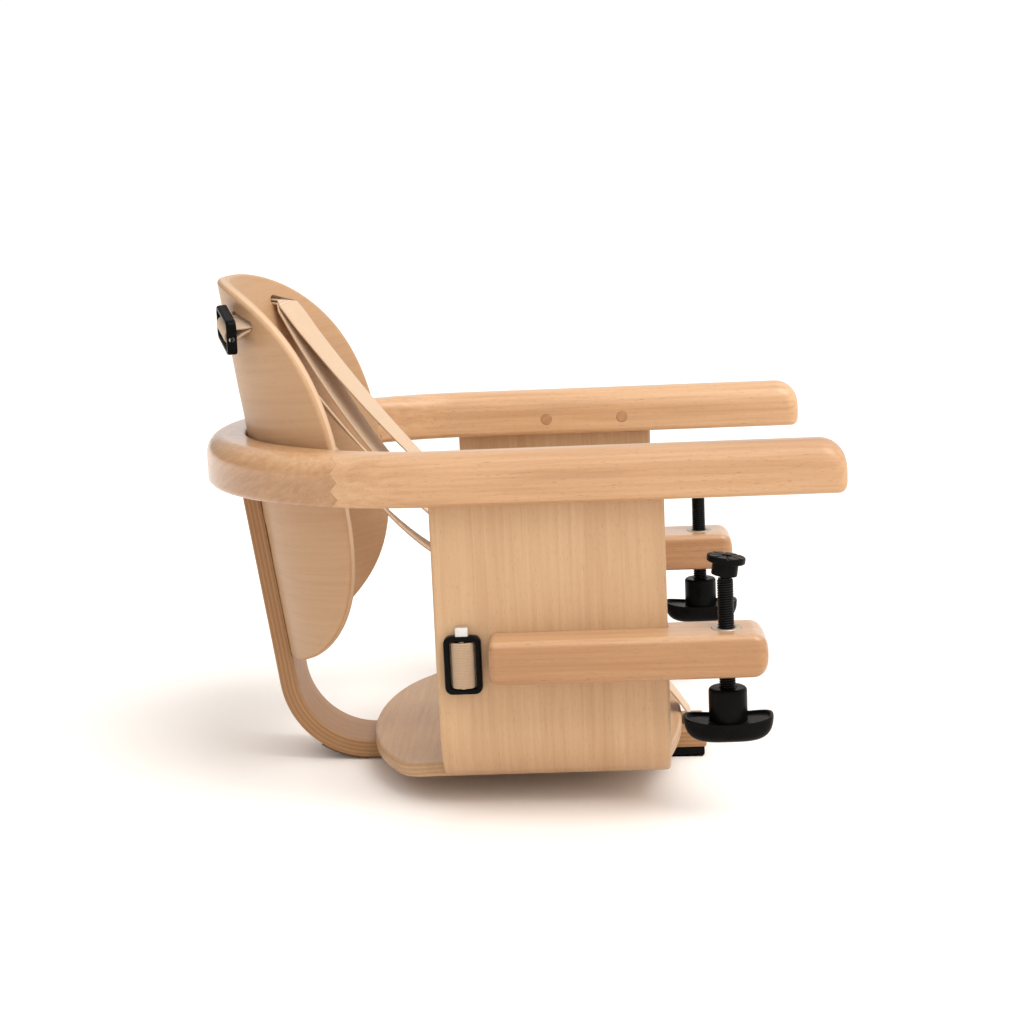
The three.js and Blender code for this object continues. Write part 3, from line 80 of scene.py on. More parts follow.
PLUG_PROUD = 0.05
PLUG_PLAY = 0.1
PLUG_Z = 11.5
PLUG_SHARES = (0.464, 0.855)  # places along the panels' depth
PLUG_TURN = radians(35)  # of the grain from one plug to the next

# Backrest
LEAN = radians(7.5)
BACK_UP = Vector((-sin(LEAN), 0, cos(LEAN)))
BACK_FORWARD = Vector((cos(LEAN), 0, sin(LEAN)))
BACK_THICK = 8
BACK_TOP = 152
BACK_BOTTOM = -107
BACK_WIDEST = 15
BACK_HALF_ANGLE = radians(62.6)
BACK_TOP_FULLNESS = 2.5
BACK_BOTTOM_FULLNESS = 3
BACK_EDGE = 2.4
BACK_EDGE_STEPS = 6
BACK_OUTER = ARM_INNER_HALF - GAP
BACK_POINTS = 168
BACK_SAMPLES = 2400
BACK_SHARES = (0, 0.25, 0.5, 0.7, 0.85, 0.94)  # rings of corners on its faces, in parts of the outline

# Seat shell
PANEL_THICK = 9
PANEL_DEPTH = 143.2
PANEL_RISE = 20
PANEL_OUTER_HALF = (ARM_OUTER_HALF + ARM_INNER_HALF + PANEL_THICK) / 2
PANEL_INNER_HALF = PANEL_OUTER_HALF - PANEL_THICK
PANEL_EDGE = 2.4
SEAT_DROP = 184.2
SEAT_BEND = 48
SEAT_BEND_Y = PANEL_OUTER_HALF - SEAT_BEND
SEAT_BEND_Z = SEAT_BEND - SEAT_DROP
SEAT_STEPS = (7, 14, 16, 15)  # down a panel, round the bend to the tongue's corner and on, to the middle
SEAT_CROWDING = 2.2  # steps lie closer together at the tongue's corner
REAR_TONGUE = 56
REAR_TONGUE_HALF = 125
FRONT_TONGUE = 12
FRONT_TONGUE_HALF = 95
FRONT_TONGUE_RADIUS = (FRONT_TONGUE_HALF**2 + FRONT_TONGUE**2) / (2 * FRONT_TONGUE)
SEAT_FRONT = PANEL_DEPTH + FRONT_TONGUE

# Spine
SPINE_WIDTH = 50
SPINE_THICK = 12
SPINE_RISE = 23.5
SPINE_EDGE = 1.4
SPINE_TOP_Z = -SEAT_DROP - GAP
SPINE_BOTTOM_Z = SPINE_TOP_Z - SPINE_THICK
BACK_SEATING = 2.6  # depth of the backrest's seat in the spine
SPINE_REAR = BACK_OUTER - BACK_SEATING + SPINE_THICK
SPINE_BEND = 61
SPINE_FRONT = SEAT_FRONT + 15.8
SPINE_BEND_Z = SPINE_BOTTOM_Z + SPINE_BEND
SPINE_BEND_X = BOW_CENTRE_X - tan(LEAN) * SPINE_BEND_Z + (SPINE_BEND - SPINE_REAR) / cos(LEAN)
SPINE_STEPS = (8, 32, 8)  # down its back, round the bend and along its foot
SPINE_EDGE_STEPS = 4

# Feet
FOOT_THICK = 5.8
FOOT_LENGTH = 30
FOOT_SETBACK = 1.5
FOOT_EDGE = 0.8
FOOT_TOP_Z = SPINE_BOTTOM_Z - GAP
FLOOR_Z = FOOT_TOP_Z - FOOT_THICK
FOOT_GROOVES = 5
GROOVE_HALF = (0.9, 0.6)  # at the mouth and at the bottom
GROOVE_DEPTH = 1
HEEL_THICK = 1.2
HEEL_SETBACK = 2
HEEL_EDGE = 0.3
HEEL_ENDS = (radians(34), radians(3))
HEEL_STEPS = 24

# Clamps
BAR_REAR = 34
BAR_WIDTH = 45
BAR_LAP = 17  # reach of its head past the panel's outer face
BAR_HEIGHT = 26.8
BAR_TOP_Z = -80.9
BAR_BOTTOM_Z = BAR_TOP_Z - BAR_HEIGHT
BAR_ROUND = 5
BAR_NOSE = (7, 9.5, 9.5)
BAR_TAIL = (4, 4, 4)
BAR_INNER_HALF = PANEL_OUTER_HALF - BAR_LAP
CLAMP_X = PANEL_DEPTH + 35
CLAMP_Y = BAR_INNER_HALF + BAR_WIDTH / 2
BAR_FRONT = CLAMP_X + 24.1
ROD_RADIUS = 5
ROD_ENTRY = 26
ROD_BORE = ROD_RADIUS + GAP
THREAD_ROOT = 4.25
THREAD_PITCH = 1.5
THREAD_SEGMENTS = 30
THREAD_ROWS = 8  # rows of corners in one pitch
THREAD_FLANK = 3.2  # steepness
INSERT_FLANGE = 9
INSERT_RIM = 1.4  # thickness of the flange
INSERT_RADIUS = 6.5
INSERT_LENGTH = 22
INSERT_PROUD = 0.4
INSERT_CHAMFER = 0.8
KNOB_GAP = 10.4
KNOB_HUB_RADIUS = 11.8
KNOB_HUB_HEIGHT = 17.1
KNOB_HUB_FOOT = KNOB_HUB_RADIUS + 0.7
KNOB_HALF_LENGTH = 27.5
KNOB_HALF_WIDTH = 15
KNOB_SQUARENESS = 3  # power of the grip's outline from above: 2 is an ellipse
KNOB_HEIGHT = 15.7
KNOB_FULLNESS = 2.6  # the same for the curve of its sides
KNOB_FOOT_SHARE = 0.4
KNOB_LIP = 2.2
KNOB_DISH = 1.8
KNOB_SHEER = 3  # dip of the grip's rim in the middle of its length
KNOB_SEGMENTS = 96
KNOB_STEPS = 14
KNOB_RING_GAP = 0.1  # from the hub's foot to the first ring of the lip
KNOB_RING_STEP = 0.02  # and to each next one
PAD_TILT = radians(8.5)
PAD_RADIUS = 11.8
PAD_DISC = 4.2
PAD_HUB = 8
PAD_HEIGHT = 12.2
PAD_GROOVES = 8
PAD_GROOVE_DEPTH = 0.7
PAD_GROOVE_SEGMENTS = 12  # from one groove to the next, two of them in the groove
PAD_DIMPLE = (3.2, 2.6)  # radius at the face and at the bottom
PAD_DIMPLE_DEPTH = 1.4
PAD_MOUTH = 5.6
PAD_MOUTH_DEPTH = 0.7
BALL_RADIUS = 4
BALL_DEPTH = 3.7
BALL_SOCKET = BALL_RADIUS + 2.5
BALL_Z = BAR_TOP_Z + 32.6 + BALL_DEPTH
BALL_STEPS = 12
NECK_RADIUS = 2.7
NECK_DROP = 5.4

# Screws that show their heads: radius of head and shank, and length
BACK_SCREW = (3.8, 2, 15)
BACK_SCREW_HEIGHTS = (-24, -84)
SEAT_SCREW = (4, 2.2, 18)
SEAT_SCREW_SHARES = (0.14, 0.72)
SUNK_RECESS = 2.1
BAR_SCREW = (5, 2.5, 28.6)
BAR_SCREW_SHARES = (0.433, 0.852)
BAR_SCREW_PROUD = 2.3
BAR_RECESS = 2.4
SCREW_EDGE = 0.25
SCREW_SINK = 2.6
SCREW_POINT = 2
RECESS_ARM = 0.28  # half width of a recess for each millimetre of its reach
RECESS_DEPTH = 1.3

# Harness
STRAP_WIDTH = 25
STRAP_THICK = 1.6
STRAP_SPACING = 1.8  # length of one step along a strap
SLOT_LENGTH = STRAP_WIDTH + 4
SLOT_WIDTH = 7
BACK_SLOT_ANGLE = radians(33.75)
BACK_SLOT_HEIGHT = 124.6
BACK_SLOT_SLOPE = radians(19.2)
WAIST_SLOT = Vector((17, PANEL_OUTER_HALF, -99.5))
SLIDER_RIM = 3.6
SLIDER_LENGTH = STRAP_WIDTH + 4.5  # of the opening
SLIDER_OPENING = 16
SLIDER_THICK = 6.4
SLIDER_OUTER_CORNER = 4.7
SLIDER_INNER_CORNER = 1.75
SLIDER_LIFT = 0.3
SLIDER_END = SLIDER_LENGTH / 2 + SLIDER_RIM
PIN_RADIUS = 2.4
PIN_HOLD = 2.2
PIN_Z = SLIDER_LIFT + SLIDER_THICK / 2
WAIST_PIN_PROUD = 5.6
WAIST_HEAD_WIDTH = 8.2
WAIST_HEAD_THICK = 4
HANG_TILT = radians(15)  # of the shoulder sliders, whose outer ends stand off the back
HANG_DROP = 4.2
HANG_LIFT = 1.5
FOLD_HALF = 6.4
SHOULDER_FOLD_HALF = 4.4
FOLD_DEPTH = PIN_RADIUS + GAP + STRAP_THICK / 2
FOLD_SPREAD = 0.15  # widening of a strap where it folds round a pin
FOLD_STEPS = 12
LAYER_OFFSET = 1.2
STRAP_LEAD = 8
SHOULDER_LEAD = 2.6
SHOULDER_RISE = 0.6
SHOULDER_DROP = 1.3
SHOULDER_SAG = {"left": (13, 34), "right": (20, 40)}
WAIST_SLACK = ((0, 0, -5), (-9, 0, -7))
RUN_STEPS = 10
CROTCH_GRIP = 37
CROTCH_SLACK = 7
CROTCH_TAIL = 26

# Buckle, in its own frame: x across, y up along the straps, z out of its face
BUCKLE_PLACE = Vector((0.427 * PANEL_DEPTH, 0, -87.3))
BUCKLE_PITCH = radians(40)
HOUSING_HALF = (24, 20)
HOUSING_THICK = 15
HOUSING_CORNER = 7
HOUSING_LEAST_CORNER = 2.5
TONGUE_THICK = 4
TONGUE_BAR = 3.6
TONGUE_SLOT = 3.6
TONGUE_MARGIN = 3
TONGUE_EDGE = 0.6
BLADE_LENGTH = 13.5
BLADE_HALF = 8.5
BUTTON_RADIUS = 8
BUTTON_THICK = 5
BUTTON_PROUD = 1.6
BUTTON_ROOM = 1.8
BUTTON_HOLLOW = 0.9
STRAP_HOLE = STRAP_WIDTH + 1.6
TONGUE_INNER = HOUSING_HALF[0] + GAP
TONGUE_OUTER = TONGUE_INNER + STRAP_HOLE + 2 * TONGUE_MARGIN + TONGUE_BAR
TONGUE_LOW = -STRAP_HOLE / 2 - TONGUE_MARGIN
TONGUE_HIGH = STRAP_HOLE / 2 + TONGUE_MARGIN + TONGUE_SLOT + TONGUE_BAR
TAB_HALF = STRAP_HOLE / 2 + TONGUE_MARGIN
TAB_LOW = -HOUSING_HALF[1] - TONGUE_SLOT - TONGUE_BAR
TAB_EDGE = 0.7
TAB_ROOT = 3  # how far the tab goes into the case
SHOULDER_BAR = Vector((TONGUE_INNER + TONGUE_MARGIN + STRAP_HOLE / 2, TONGUE_HIGH - TONGUE_BAR / 2, 0))
WAIST_BAR = Vector((TONGUE_OUTER - TONGUE_BAR / 2, 0, 0))
CROTCH_BAR = Vector((0, TAB_LOW + TONGUE_BAR / 2, 0))
BAR_WRAP = hypot(TONGUE_BAR, TONGUE_THICK) / 2 + GAP + STRAP_THICK / 2  # radius of a strap round a bar

# Camera: fitted place in millimetres, angles in degrees and focal length in pixels of a 1024 pixel frame
CAMERA_PLACE = (106.25, -1347.14, 212.65)
CAMERA_YAW = 2.2265
CAMERA_PITCH = 10.4401
CAMERA_ROLL = -2.0807
CAMERA_FOCUS = 2009.12
FRAME_PIXELS = 1024
SENSOR = 36

# Stage and light: brightness of the surroundings is a level and a slope along x, y and z
FLOOR_HALF = 60  # metres
FLOOR_DROP = 0.0002  # metres below the foot
FLOOR_COLOUR = (0.95, 0.9, 0.845, 1)
SKY_LEVEL = 0.63
SKY_SLOPE = (0.5, -0.25, 0.7)
SKY_LEAST = 0.1
BACKDROP = 1.05
BACKDROP_FROM = (0.88, 0.96)  # it fades in where y of the view's direction is between these
KEY_STRENGTH = 1.5
KEY_SOFTNESS = 35  # degrees across
KEY_FROM = (0.5, -0.45, 1)

arm_low, arm_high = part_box("arm_left")
ORIGIN = Vector((arm_high[0] - ARM_FRONT / 1000, 0, arm_low[2]))


def metres(point):
    return ORIGIN + Vector(point) / 1000


# Shapes: a shape is a list of points in millimetres and a list of faces


def spread(start, end, steps):
    """Evenly spaced values from start to end."""
    return [start + (end - start) * i / steps for i in range(steps + 1)]


def polar(radius, turn, z):
    return radius * cos(turn), radius * sin(turn), z


def circle(radius, z, segments):
    return [polar(radius, 2 * pi * i / segments, z) for i in range(segments)]


def at_height(outline, z):
    return [(x, y, z) for x, y in outline]


def loft(rings, loop=False, caps=True):
    """Skin over rings of corners, capped at both ends or joined into a loop."""
    count = len(rings[0])
    points = [point for ring in rings for point in ring]
    faces = []
    for i in range(len(rings) if loop else len(rings) - 1):
        a = i * count
        b = (i + 1) % len(rings) * count
        for j in range(count):
            k = (j + 1) % count
            faces.append((a + j, b + j, b + k, a + k))
    if caps and not loop:
        faces.append(tuple(range(count)))
        faces.append(tuple(range(len(points) - count, len(points))))
    return points, faces


def turned(profile, segments=48, caps=True):
    """Turned body on the z axis from (radius, height) points."""
    return loft([circle(radius, z, segments) for radius, z in profile], caps=caps)


def cylinder(radius, z0, z1, segments):
    return turned([(0, z0), (radius, z0), (radius, z1), (0, z1)], segments)


def filleted(corners, steps=5, closed=True):
    """Outline with round corners from (x, y, radius) corners."""
    points = []
    for i, (x, y, radius) in enumerate(corners):
        here = Vector((x, y))
        if radius == 0 or (not closed and i in (0, len(corners) - 1)):
            points.append((x, y))
            continue
        before = (Vector(corners[i - 1][:2]) - here).normalized()
        after = (Vector(corners[(i + 1) % len(corners)][:2]) - here).normalized()
        half = before.angle(after) / 2
        centre = here + (before + after).normalized() * radius / sin(half)
        first = here + before * radius / tan(half) - centre
        last = here + after * radius / tan(half) - centre
        start = atan2(first.y, first.x)
        sweep = remainder(atan2(last.y, last.x) - start, 2 * pi)
        for angle in spread(start, start + sweep, steps):
            points.append((centre.x + radius * cos(angle), centre.y + radius * sin(angle)))
    return points


def lathe(corners, steps, segments, caps=True):
    """Turned body from (radius, height, rounding) corners."""
    return turned(filleted(corners, steps, closed=False), segments, caps)


def rounded_rectangle(x0, x1, y0, y1, radius, steps):
    return filleted([(x1, y0, radius), (x1, y1, radius), (x0, y1, radius), (x0, y0, radius)], steps)


def centred_rectangle(half_x, half_y, radius, steps):
    return rounded_rectangle(-half_x, half_x, -half_y, half_y, radius, steps)


def extruded(outline, z0, z1):
    return loft([at_height(outline, z0), at_height(outline, z1)])


def across_y(outline, half_width):
    """Outline in the XZ plane made into a body centred on the middle plane."""
    return loft([[(x, y, z) for x, z in outline] for y in (-half_width, half_width)])


def block(x0, x1, y0, y1, z0, z1):
    return extruded([(x0, y0), (x1, y0), (x1, y1), (x0, y1)], z0, z1)


def on_side(shape, sign):
    return [(x, sign * y, z) for x, y, z in shape[0]], shape[1]


def moved(shape, matrix, sign=1):
    """The shape in another frame, and then on the left or right side."""
    return on_side(([matrix @ Vector(point) for point in shape[0]], shape[1]), sign)


def frame_of(place, x_axis, z_axis):
    """Matrix of a frame with these x and z axes at a place."""
    y_axis = z_axis.cross(x_axis)
    matrix = Matrix((x_axis, y_axis, z_axis)).transposed().to_4x4()
    matrix.translation = place
    return matrix


def facing(place, direction):
    return Matrix.Translation(place) @ direction.to_track_quat("Z", "Y").to_matrix().to_4x4()


# Objects


def raw(name, shape, weld=True):
    mesh = bpy.data.meshes.new(name)
    mesh.from_pydata([metres(point) for point in shape[0]], [], shape[1])
    edit = bmesh.new()
    edit.from_mesh(mesh)
    if weld:
        bmesh.ops.remove_doubles(edit, verts=edit.verts, dist=WELD)
    bmesh.ops.recalc_face_normals(edit, faces=edit.faces)
    edit.to_mesh(mesh)
    edit.free()
    thing = bpy.data.objects.new(name, mesh)
    bpy.context.collection.objects.link(thing)
    return thing


def settle(thing):
    """Applies the modifiers to the mesh."""
    graph = bpy.context.evaluated_depsgraph_get()
    mesh = bpy.data.meshes.new_from_object(thing.evaluated_get(graph))
    thing.modifiers.clear()
    old = thing.data
    thing.data = mesh
    bpy.data.meshes.remove(old)


def carve(thing, shapes, operation="DIFFERENCE"):
    for shape in shapes:
        tool = raw("tool", shape)
        modifier = thing.modifiers.new("carve", "BOOLEAN")
        modifier.operation = operation
        modifier.solver = "EXACT"
        modifier.object = tool
        settle(thing)
        bpy.data.objects.remove(tool)
    return thing


def bevel(thing, width, segments=3, limit=40):
    modifier = thing.modifiers.new("bevel", "BEVEL")
    modifier.width = width / 1000
    modifier.segments = segments
    modifier.limit_method = "ANGLE"
    modifier.angle_limit = radians(limit)
    settle(thing)
    return thing


def solid(name, shape, matrix, sign=1, cuts=()):
    """Object from a shape and cuts in another frame, on the left or right side."""
    return carve(raw(name, moved(shape, matrix, sign)), [moved(cut, matrix, sign) for cut in cuts])


def piece(thing, look, nodes=(), body="frame", grain=None, sharp=35):
    """Finishes a piece: material, smooth faces, grain coordinates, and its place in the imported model."""
    material, slot = look
    mesh = thing.data
    mesh.materials.clear()
    mesh.materials.append(material)
    mesh.shade_smooth()
    mesh.set_sharp_from_angle(angle=radians(sharp))
    modifier = thing.modifiers.new("normals", "WEIGHTED_NORMAL")
    modifier.keep_sharp = True
    settle(thing)
    if grain:
        values = []
        for vertex in thing.data.vertices:
            values.extend(grain((vertex.co - ORIGIN) * 1000))
        thing.data.attributes.new("grain", "FLOAT_VECTOR", "POINT").data.foreach_set("vector", values)
    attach(thing, body)
    if nodes:
        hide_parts(*nodes)


# Materials


def add_node(tree, kind, inputs, **settings):
    """New shader node, whose inputs are linked to sockets or set to values."""
    made = tree.nodes.new("ShaderNode" + kind)
    for key, value in settings.items():
        setattr(made, key, value)
    for key, value in inputs.items():
        if isinstance(value, bpy.types.NodeSocket):
            tree.links.new(value, made.inputs[key])
        else:
            made.inputs[key].default_value = value
    return made


class Shader:
    """Material whose nodes are added one by one and end in a principled surface."""

    def __init__(self, name, surface):
        self.material = bpy.data.materials.new(name)
        self.material.use_nodes = True
        self.tree = self.material.node_tree
        self.tree.nodes.clear()
        self.surface = self.node("BsdfPrincipled", surface)
        self.node("OutputMaterial", {"Surface": self.surface.outputs[0]})

    def node(self, kind, inputs, **settings):
        return add_node(self.tree, kind, inputs, **settings)

    def grain(self):
        return self.node("Attribute", {}, attribute_name="grain").outputs["Vector"]

    def place(self):
        return self.node("TexCoord", {}).outputs["Object"]

    def part(self, vector, letter):
        return self.node("SeparateXYZ", {0: vector}).outputs[letter]

    def noise(self, vector, scale, detail, distortion=0):
        stretched = self.node("Mapping", {"Vector": vector, "Scale": scale}).outputs[0]
        inputs = {"Vector": stretched, "Scale": 1, "Detail": detail, "Distortion": distortion}
        return self.node("TexNoise", inputs).outputs[0]

    def even_noise(self, vector, scale, detail, distortion=0):
        return self.noise(vector, (scale, scale, scale), detail, distortion)

    def math(self, operation, a, b=0):
        return self.node("Math", {0: a, 1: b}, operation=operation).outputs[0]

    def ramp(self, factor, *stops):
        made = self.node("ValToRGB", {0: factor})
        elements = made.color_ramp.elements
        while len(elements) < len(stops):
            elements.new(1)
        for element, (position, colour) in zip(elements, stops):
            element.position = position
            element.color = (*colour, 1)
        return made.outputs[0]

    def grey_ramp(self, factor, *stops):
        return self.ramp(factor, *[(position, (value, value, value)) for position, value in stops])

    def mix(self, factor, socket, colour, blend="MIX"):
        inputs = {0: factor, 6: socket, 7: (*colour, 1)}
        return self.node("Mix", inputs, data_type="RGBA", blend_type=blend).outputs[2]

    def wear(self, key, value):
        self.tree.links.new(value, self.surface.inputs[key])

    def bump(self, height, strength, distance):
        inputs = {"Strength": strength, "Distance": distance / 1000, "Height": height}
        self.wear("Normal", self.node("Bump", inputs).outputs[0])


PLY_SKIN = 0.25  # depth of each face that shows no edge of a ply
PLY_REST = 0.34  # share of a pair of plies that is left at the inner face


def wood(name, colours, coat=0.4, plies=None, painted_sheen=None):
    """Lacquered beech. Grain coordinates are in millimetres: along the fibres, across, and depth. Plies are
    pairs of crossed layers, whose edges show as lines: their number, thickness of the board, strength and
    colour of the lines. The last argument paints a sheen: a lighter tone multiplied in between two heights,
    standing in for the light that the top faces reflect."""
    pale, middle, dark, fleck = colours
    shader = Shader(name, {"Specular IOR Level": 0.3, "Coat Weight": coat, "Coat Roughness": 0.22})
    grain = shader.grain()
    broad = shader.noise(grain, (0.005, 0.045, 0.045), 2)
    rings = shader.noise(grain, (0.008, 0.33, 0.33), 5, 0.5)
    fibre = shader.noise(grain, (0.06, 3.6, 3.6), 3)
    dashes = shader.noise(grain, (0.2, 2.3, 2.3), 1)
    tone = shader.math("ADD", shader.math("MULTIPLY", broad, 0.45), shader.math("MULTIPLY", rings, 0.55))
    colour = shader.ramp(tone, (0.32, dark), (0.5, middle), (0.68, pale))
    colour = shader.mix(shader.grey_ramp(fibre, (0.3, 0.3), (0.6, 0)), colour, dark)
    colour = shader.mix(shader.grey_ramp(dashes, (0.64, 0), (0.74, 0.62)), colour, fleck)
    if plies:
        number, thickness, strength, line = plies
        limits = {0: shader.part(grain, "Z"), 1: PLY_SKIN, 2: thickness - PLY_SKIN}
        inside = shader.node("Clamp", limits).outputs[0]
        layer = shader.math("FRACT", shader.math("MULTIPLY", inside, (number + PLY_REST) / thickness))
        edge = shader.grey_ramp(layer, (0.36, 0), (0.44, strength), (0.92, strength), (1, 0))
        colour = shader.mix(edge, colour, line)
    # Painted highlight: a lighter tone multiplied in above a height, in place of light reflected off the top
    # faces
    if painted_sheen:
        low, high, sheen_tint = painted_sheen
        limits = {1: metres((0, 0, low)).z, 2: metres((0, 0, high)).z}
        above = shader.node("MapRange", {0: shader.part(shader.place(), "Z"), **limits}).outputs[0]
        colour = shader.mix(above, colour, sheen_tint, "MULTIPLY")
    shader.wear("Base Color", colour)
    shader.wear("Roughness", shader.grey_ramp(fibre, (0.3, 0.52), (0.7, 0.4)))
    shader.bump(shader.math("SUBTRACT", fibre, dashes), 0.25, 0.06)
    return shader.material


WARP_SPACING = 0.9
WEFT_SPACING = 0.7


def webbing(name, colours):
    """Plain woven strap. Grain coordinates are in millimetres along and across the strap."""
    hollow, rise, crown = colours
    shader = Shader(name, {"Roughness": 0.85, "Specular IOR Level": 0.2, "Sheen Weight": 0.25})
    grain = shader.grain()
    warp = shader.math("SINE", shader.math("MULTIPLY", shader.part(grain, "Y"), pi / WARP_SPACING))
    weft = shader.math("SINE", shader.math("MULTIPLY", shader.part(grain, "X"), pi / WEFT_SPACING))
    weave = shader.math("ABSOLUTE", shader.math("MULTIPLY", warp, weft))
    threads = shader.noise(grain, (0.12, 2.5, 1), 3)
    colour = shader.ramp(weave, (0, hollow), (0.35, rise), (1, crown))
    colour = shader.mix(shader.grey_ramp(threads, (0.35, 0.3), (0.6, 0)), colour, hollow)
    shader.wear("Base Color", colour)
    shader.bump(weave, 0.5, 0.15)
    return shader.material


def moulded(name, colour, roughness, grit):
    """Moulded plastic or rubber with a fine grain."""
    shader = Shader(name, {"Specular IOR Level": 0.045})
    place = shader.place()
    cloud = shader.even_noise(place, 60, 4)
    grain = shader.even_noise(place, 2600, 2)
    worn = tuple(2 * value for value in colour)
    shader.wear("Base Color", shader.ramp(cloud, (0.35, colour), (0.75, worn)))
    shader.wear("Roughness", shader.grey_ramp(cloud, (0.3, roughness - 0.06), (0.7, roughness + 0.06)))
    shader.bump(grain, grit, 0.05)
    return shader.material


def metal(name, colour, roughness):
    """Plated or blackened steel with fine scratches."""
    shader = Shader(name, {"Metallic": 1})
    place = shader.place()
    cloud = shader.even_noise(place, 90, 3)
    scratches = shader.noise(place, (300, 300, 6000), 2)
    dull = tuple(0.72 * value for value in colour)
    shader.wear("Base Color", shader.ramp(cloud, (0.3, dull), (0.7, colour)))
    shader.wear("Roughness", shader.grey_ramp(scratches, (0.3, roughness - 0.08), (0.7, roughness + 0.1)))
    shader.bump(scratches, 0.1, 0.02)
    return shader.material


def felt(name, dark, pale):
    shader = Shader(name, {"Roughness": 0.95, "Specular IOR Level": 0.1, "Sheen Weight": 0.3})
    hairs = shader.even_noise(shader.place(), 900, 5, 1.5)
    shader.wear("Base Color", shader.ramp(hairs, (0.3, dark), (0.7, pale)))
    shader.bump(hairs, 0.6, 0.3)
    return shader.material


def toned(colours, tone):
    """The same colours with red, green and blue multiplied."""
    return [tuple(a * b for a, b in zip(colour, tone)) for colour in colours]


def evened(colours, share):
    """The same colours moved a share of the way to the second one."""
    return [tuple(a + (b - a) * share for a, b in zip(colour, colours[1])) for colour in colours]


# Pale, middle and dark wood, and its flecks
BEECH = [(0.6, 0.365, 0.2), (0.53, 0.3, 0.15), (0.43, 0.225, 0.105), (0.3, 0.145, 0.065)]
VENEER = [(0.57, 0.365, 0.205), (0.525, 0.325, 0.175), (0.46, 0.27, 0.14), (0.33, 0.18, 0.09)]
BACK_VENEER = evened(toned(VENEER, (0.9, 0.86, 0.83)), 0.35)
SPINE_VENEER = toned(VENEER, (0.77, 0.67, 0.55))
PALE_PLY = (0.66, 0.46, 0.3)
# Painted highlights: heights and lighter tint of a sheen painted on the bow's top and on the clamp bars'
# tops
BOW_PAINTED_SHEEN = (14, 29, (1.38, 1.48, 1.62))
BAR_PAINTED_SHEEN = (BAR_TOP_Z - 3.5, BAR_TOP_Z - 0.5, (1.38, 1.62, 2.1))

# Hollows, rises and crowns of the weave
WEB = [(0.46, 0.31, 0.19), (0.62, 0.44, 0.29), (0.69, 0.51, 0.36)]

# Looks: a material and the slot that it fills
arm_beech = {
    # Painted light: the left arm's beech is a lighter copy of the right arm's, for the light that falls on
    # the far arm's inner face
    "left": (wood("left_arm_beech_painted_light", toned(BEECH, (1.13, 1.16, 1.18))), "beech"),
    "right": (wood("right_arm_beech", BEECH), "beech"),
}
# The bow and the clamp bars carry that painted sheen on their tops
bow_beech = (wood("bow_beech", toned(BEECH, (0.77, 0.715, 0.63)), 0.9, painted_sheen=BOW_PAINTED_SHEEN), "beech")
bar_beech = (wood("bar_beech", toned(BEECH, (0.75, 0.655, 0.53)), 0.7, painted_sheen=BAR_PAINTED_SHEEN), "beech")
plug_beech = (wood("plug_beech", toned(BEECH, (0.84, 0.8, 0.75))), "beech")
seat_ply = (wood("seat_ply", VENEER, 0.15, (3, PANEL_THICK, 0.4, VENEER[3])), "plywood")
back_ply = (wood("back_ply", BACK_VENEER, 0.15, (1, BACK_THICK, 0.6, PALE_PLY)), "plywood")
spine_ply = (wood("spine_ply", SPINE_VENEER, 0.04, (4, SPINE_THICK, 0.5, SPINE_VENEER[3])), "plywood")
shoulder_web = (webbing("shoulder_webbing", WEB), "webbing")
# Painted shade: the waist webbing is a darker copy of the shoulder webbing, for the shade on its folds
# inside the waist sliders
painted_shade_waist_web = (webbing("waist_webbing", toned(WEB, (0.74, 0.72, 0.7))), "webbing")
black_plastic = (moulded("black_plastic", (0.0025, 0.0025, 0.0025), 0.3, 0.1), "black_plastic")
black_rubber = (moulded("black_rubber", (0.004, 0.004, 0.004), 0.7, 0.4), "rubber")
black_steel = (metal("black_steel", (0.02, 0.02, 0.021), 0.42), "black_steel")
zinc = (metal("zinc", (0.5, 0.48, 0.45), 0.42), "zinc")
insert_zinc = (metal("insert_zinc", (0.66, 0.57, 0.46), 0.5), "zinc")
pale_zinc = (metal("pale_zinc", (0.8, 0.79, 0.76), 0.5), "zinc")
heel_felt = (felt("heel_felt", (0.1, 0.055, 0.03), (0.24, 0.14, 0.08)), "felt")


# Bars of solid beech with rounded edges and ends


def bar_section(width, height, top_round, bottom_round, inset=(0, 0, 0), inner_round=None):
    """Section as (across, height) corners, drawn in from its sides, top and bottom."""
    side, top, bottom = inset
    limit = min(width - 2 * side - HAIR, height - top - bottom - HAIR) / 2
    upper = min(top_round, limit)
    lower = min(bottom_round, limit)
    return filleted([
        (width - side, bottom, lower),
        (width - side, height - top, upper),
        (side, height - top, inner_round or upper),
        (side, bottom, lower),
    ], 7)


def nose(radii):
    """Distances from a rounded end, and how far the section is drawn in there."""
    stations = []
    for turn in spread(0, QUARTER, NOSE_STEPS):
        distance = max(radii) * (1 - cos(turn))
        gaps = [max(radius - distance, 0) for radius in radii]
        inset = [radius - sqrt(radius**2 - gap**2) for radius, gap in zip(radii, gaps)]
        stations.append((distance, inset))
    return stations


def leaning_x(z, behind):
    """Place at a height on a plane that leans with the back, a distance behind its axis."""
    return BOW_CENTRE_X - tan(LEAN) * z - behind / cos(LEAN)


def bow_point(angle, across, z):
    """Corner on the bow, whose inner face follows the leaning backrest."""
    inner = Vector((leaning_x(z, ARM_INNER_HALF * cos(angle)), ARM_INNER_HALF * sin(angle), z))
    outer = Vector((BOW_CENTRE_X - ARM_OUTER_HALF * cos(angle), ARM_OUTER_HALF * sin(angle), z))
    return tuple(inner.lerp(outer, across / ARM_WIDTH))


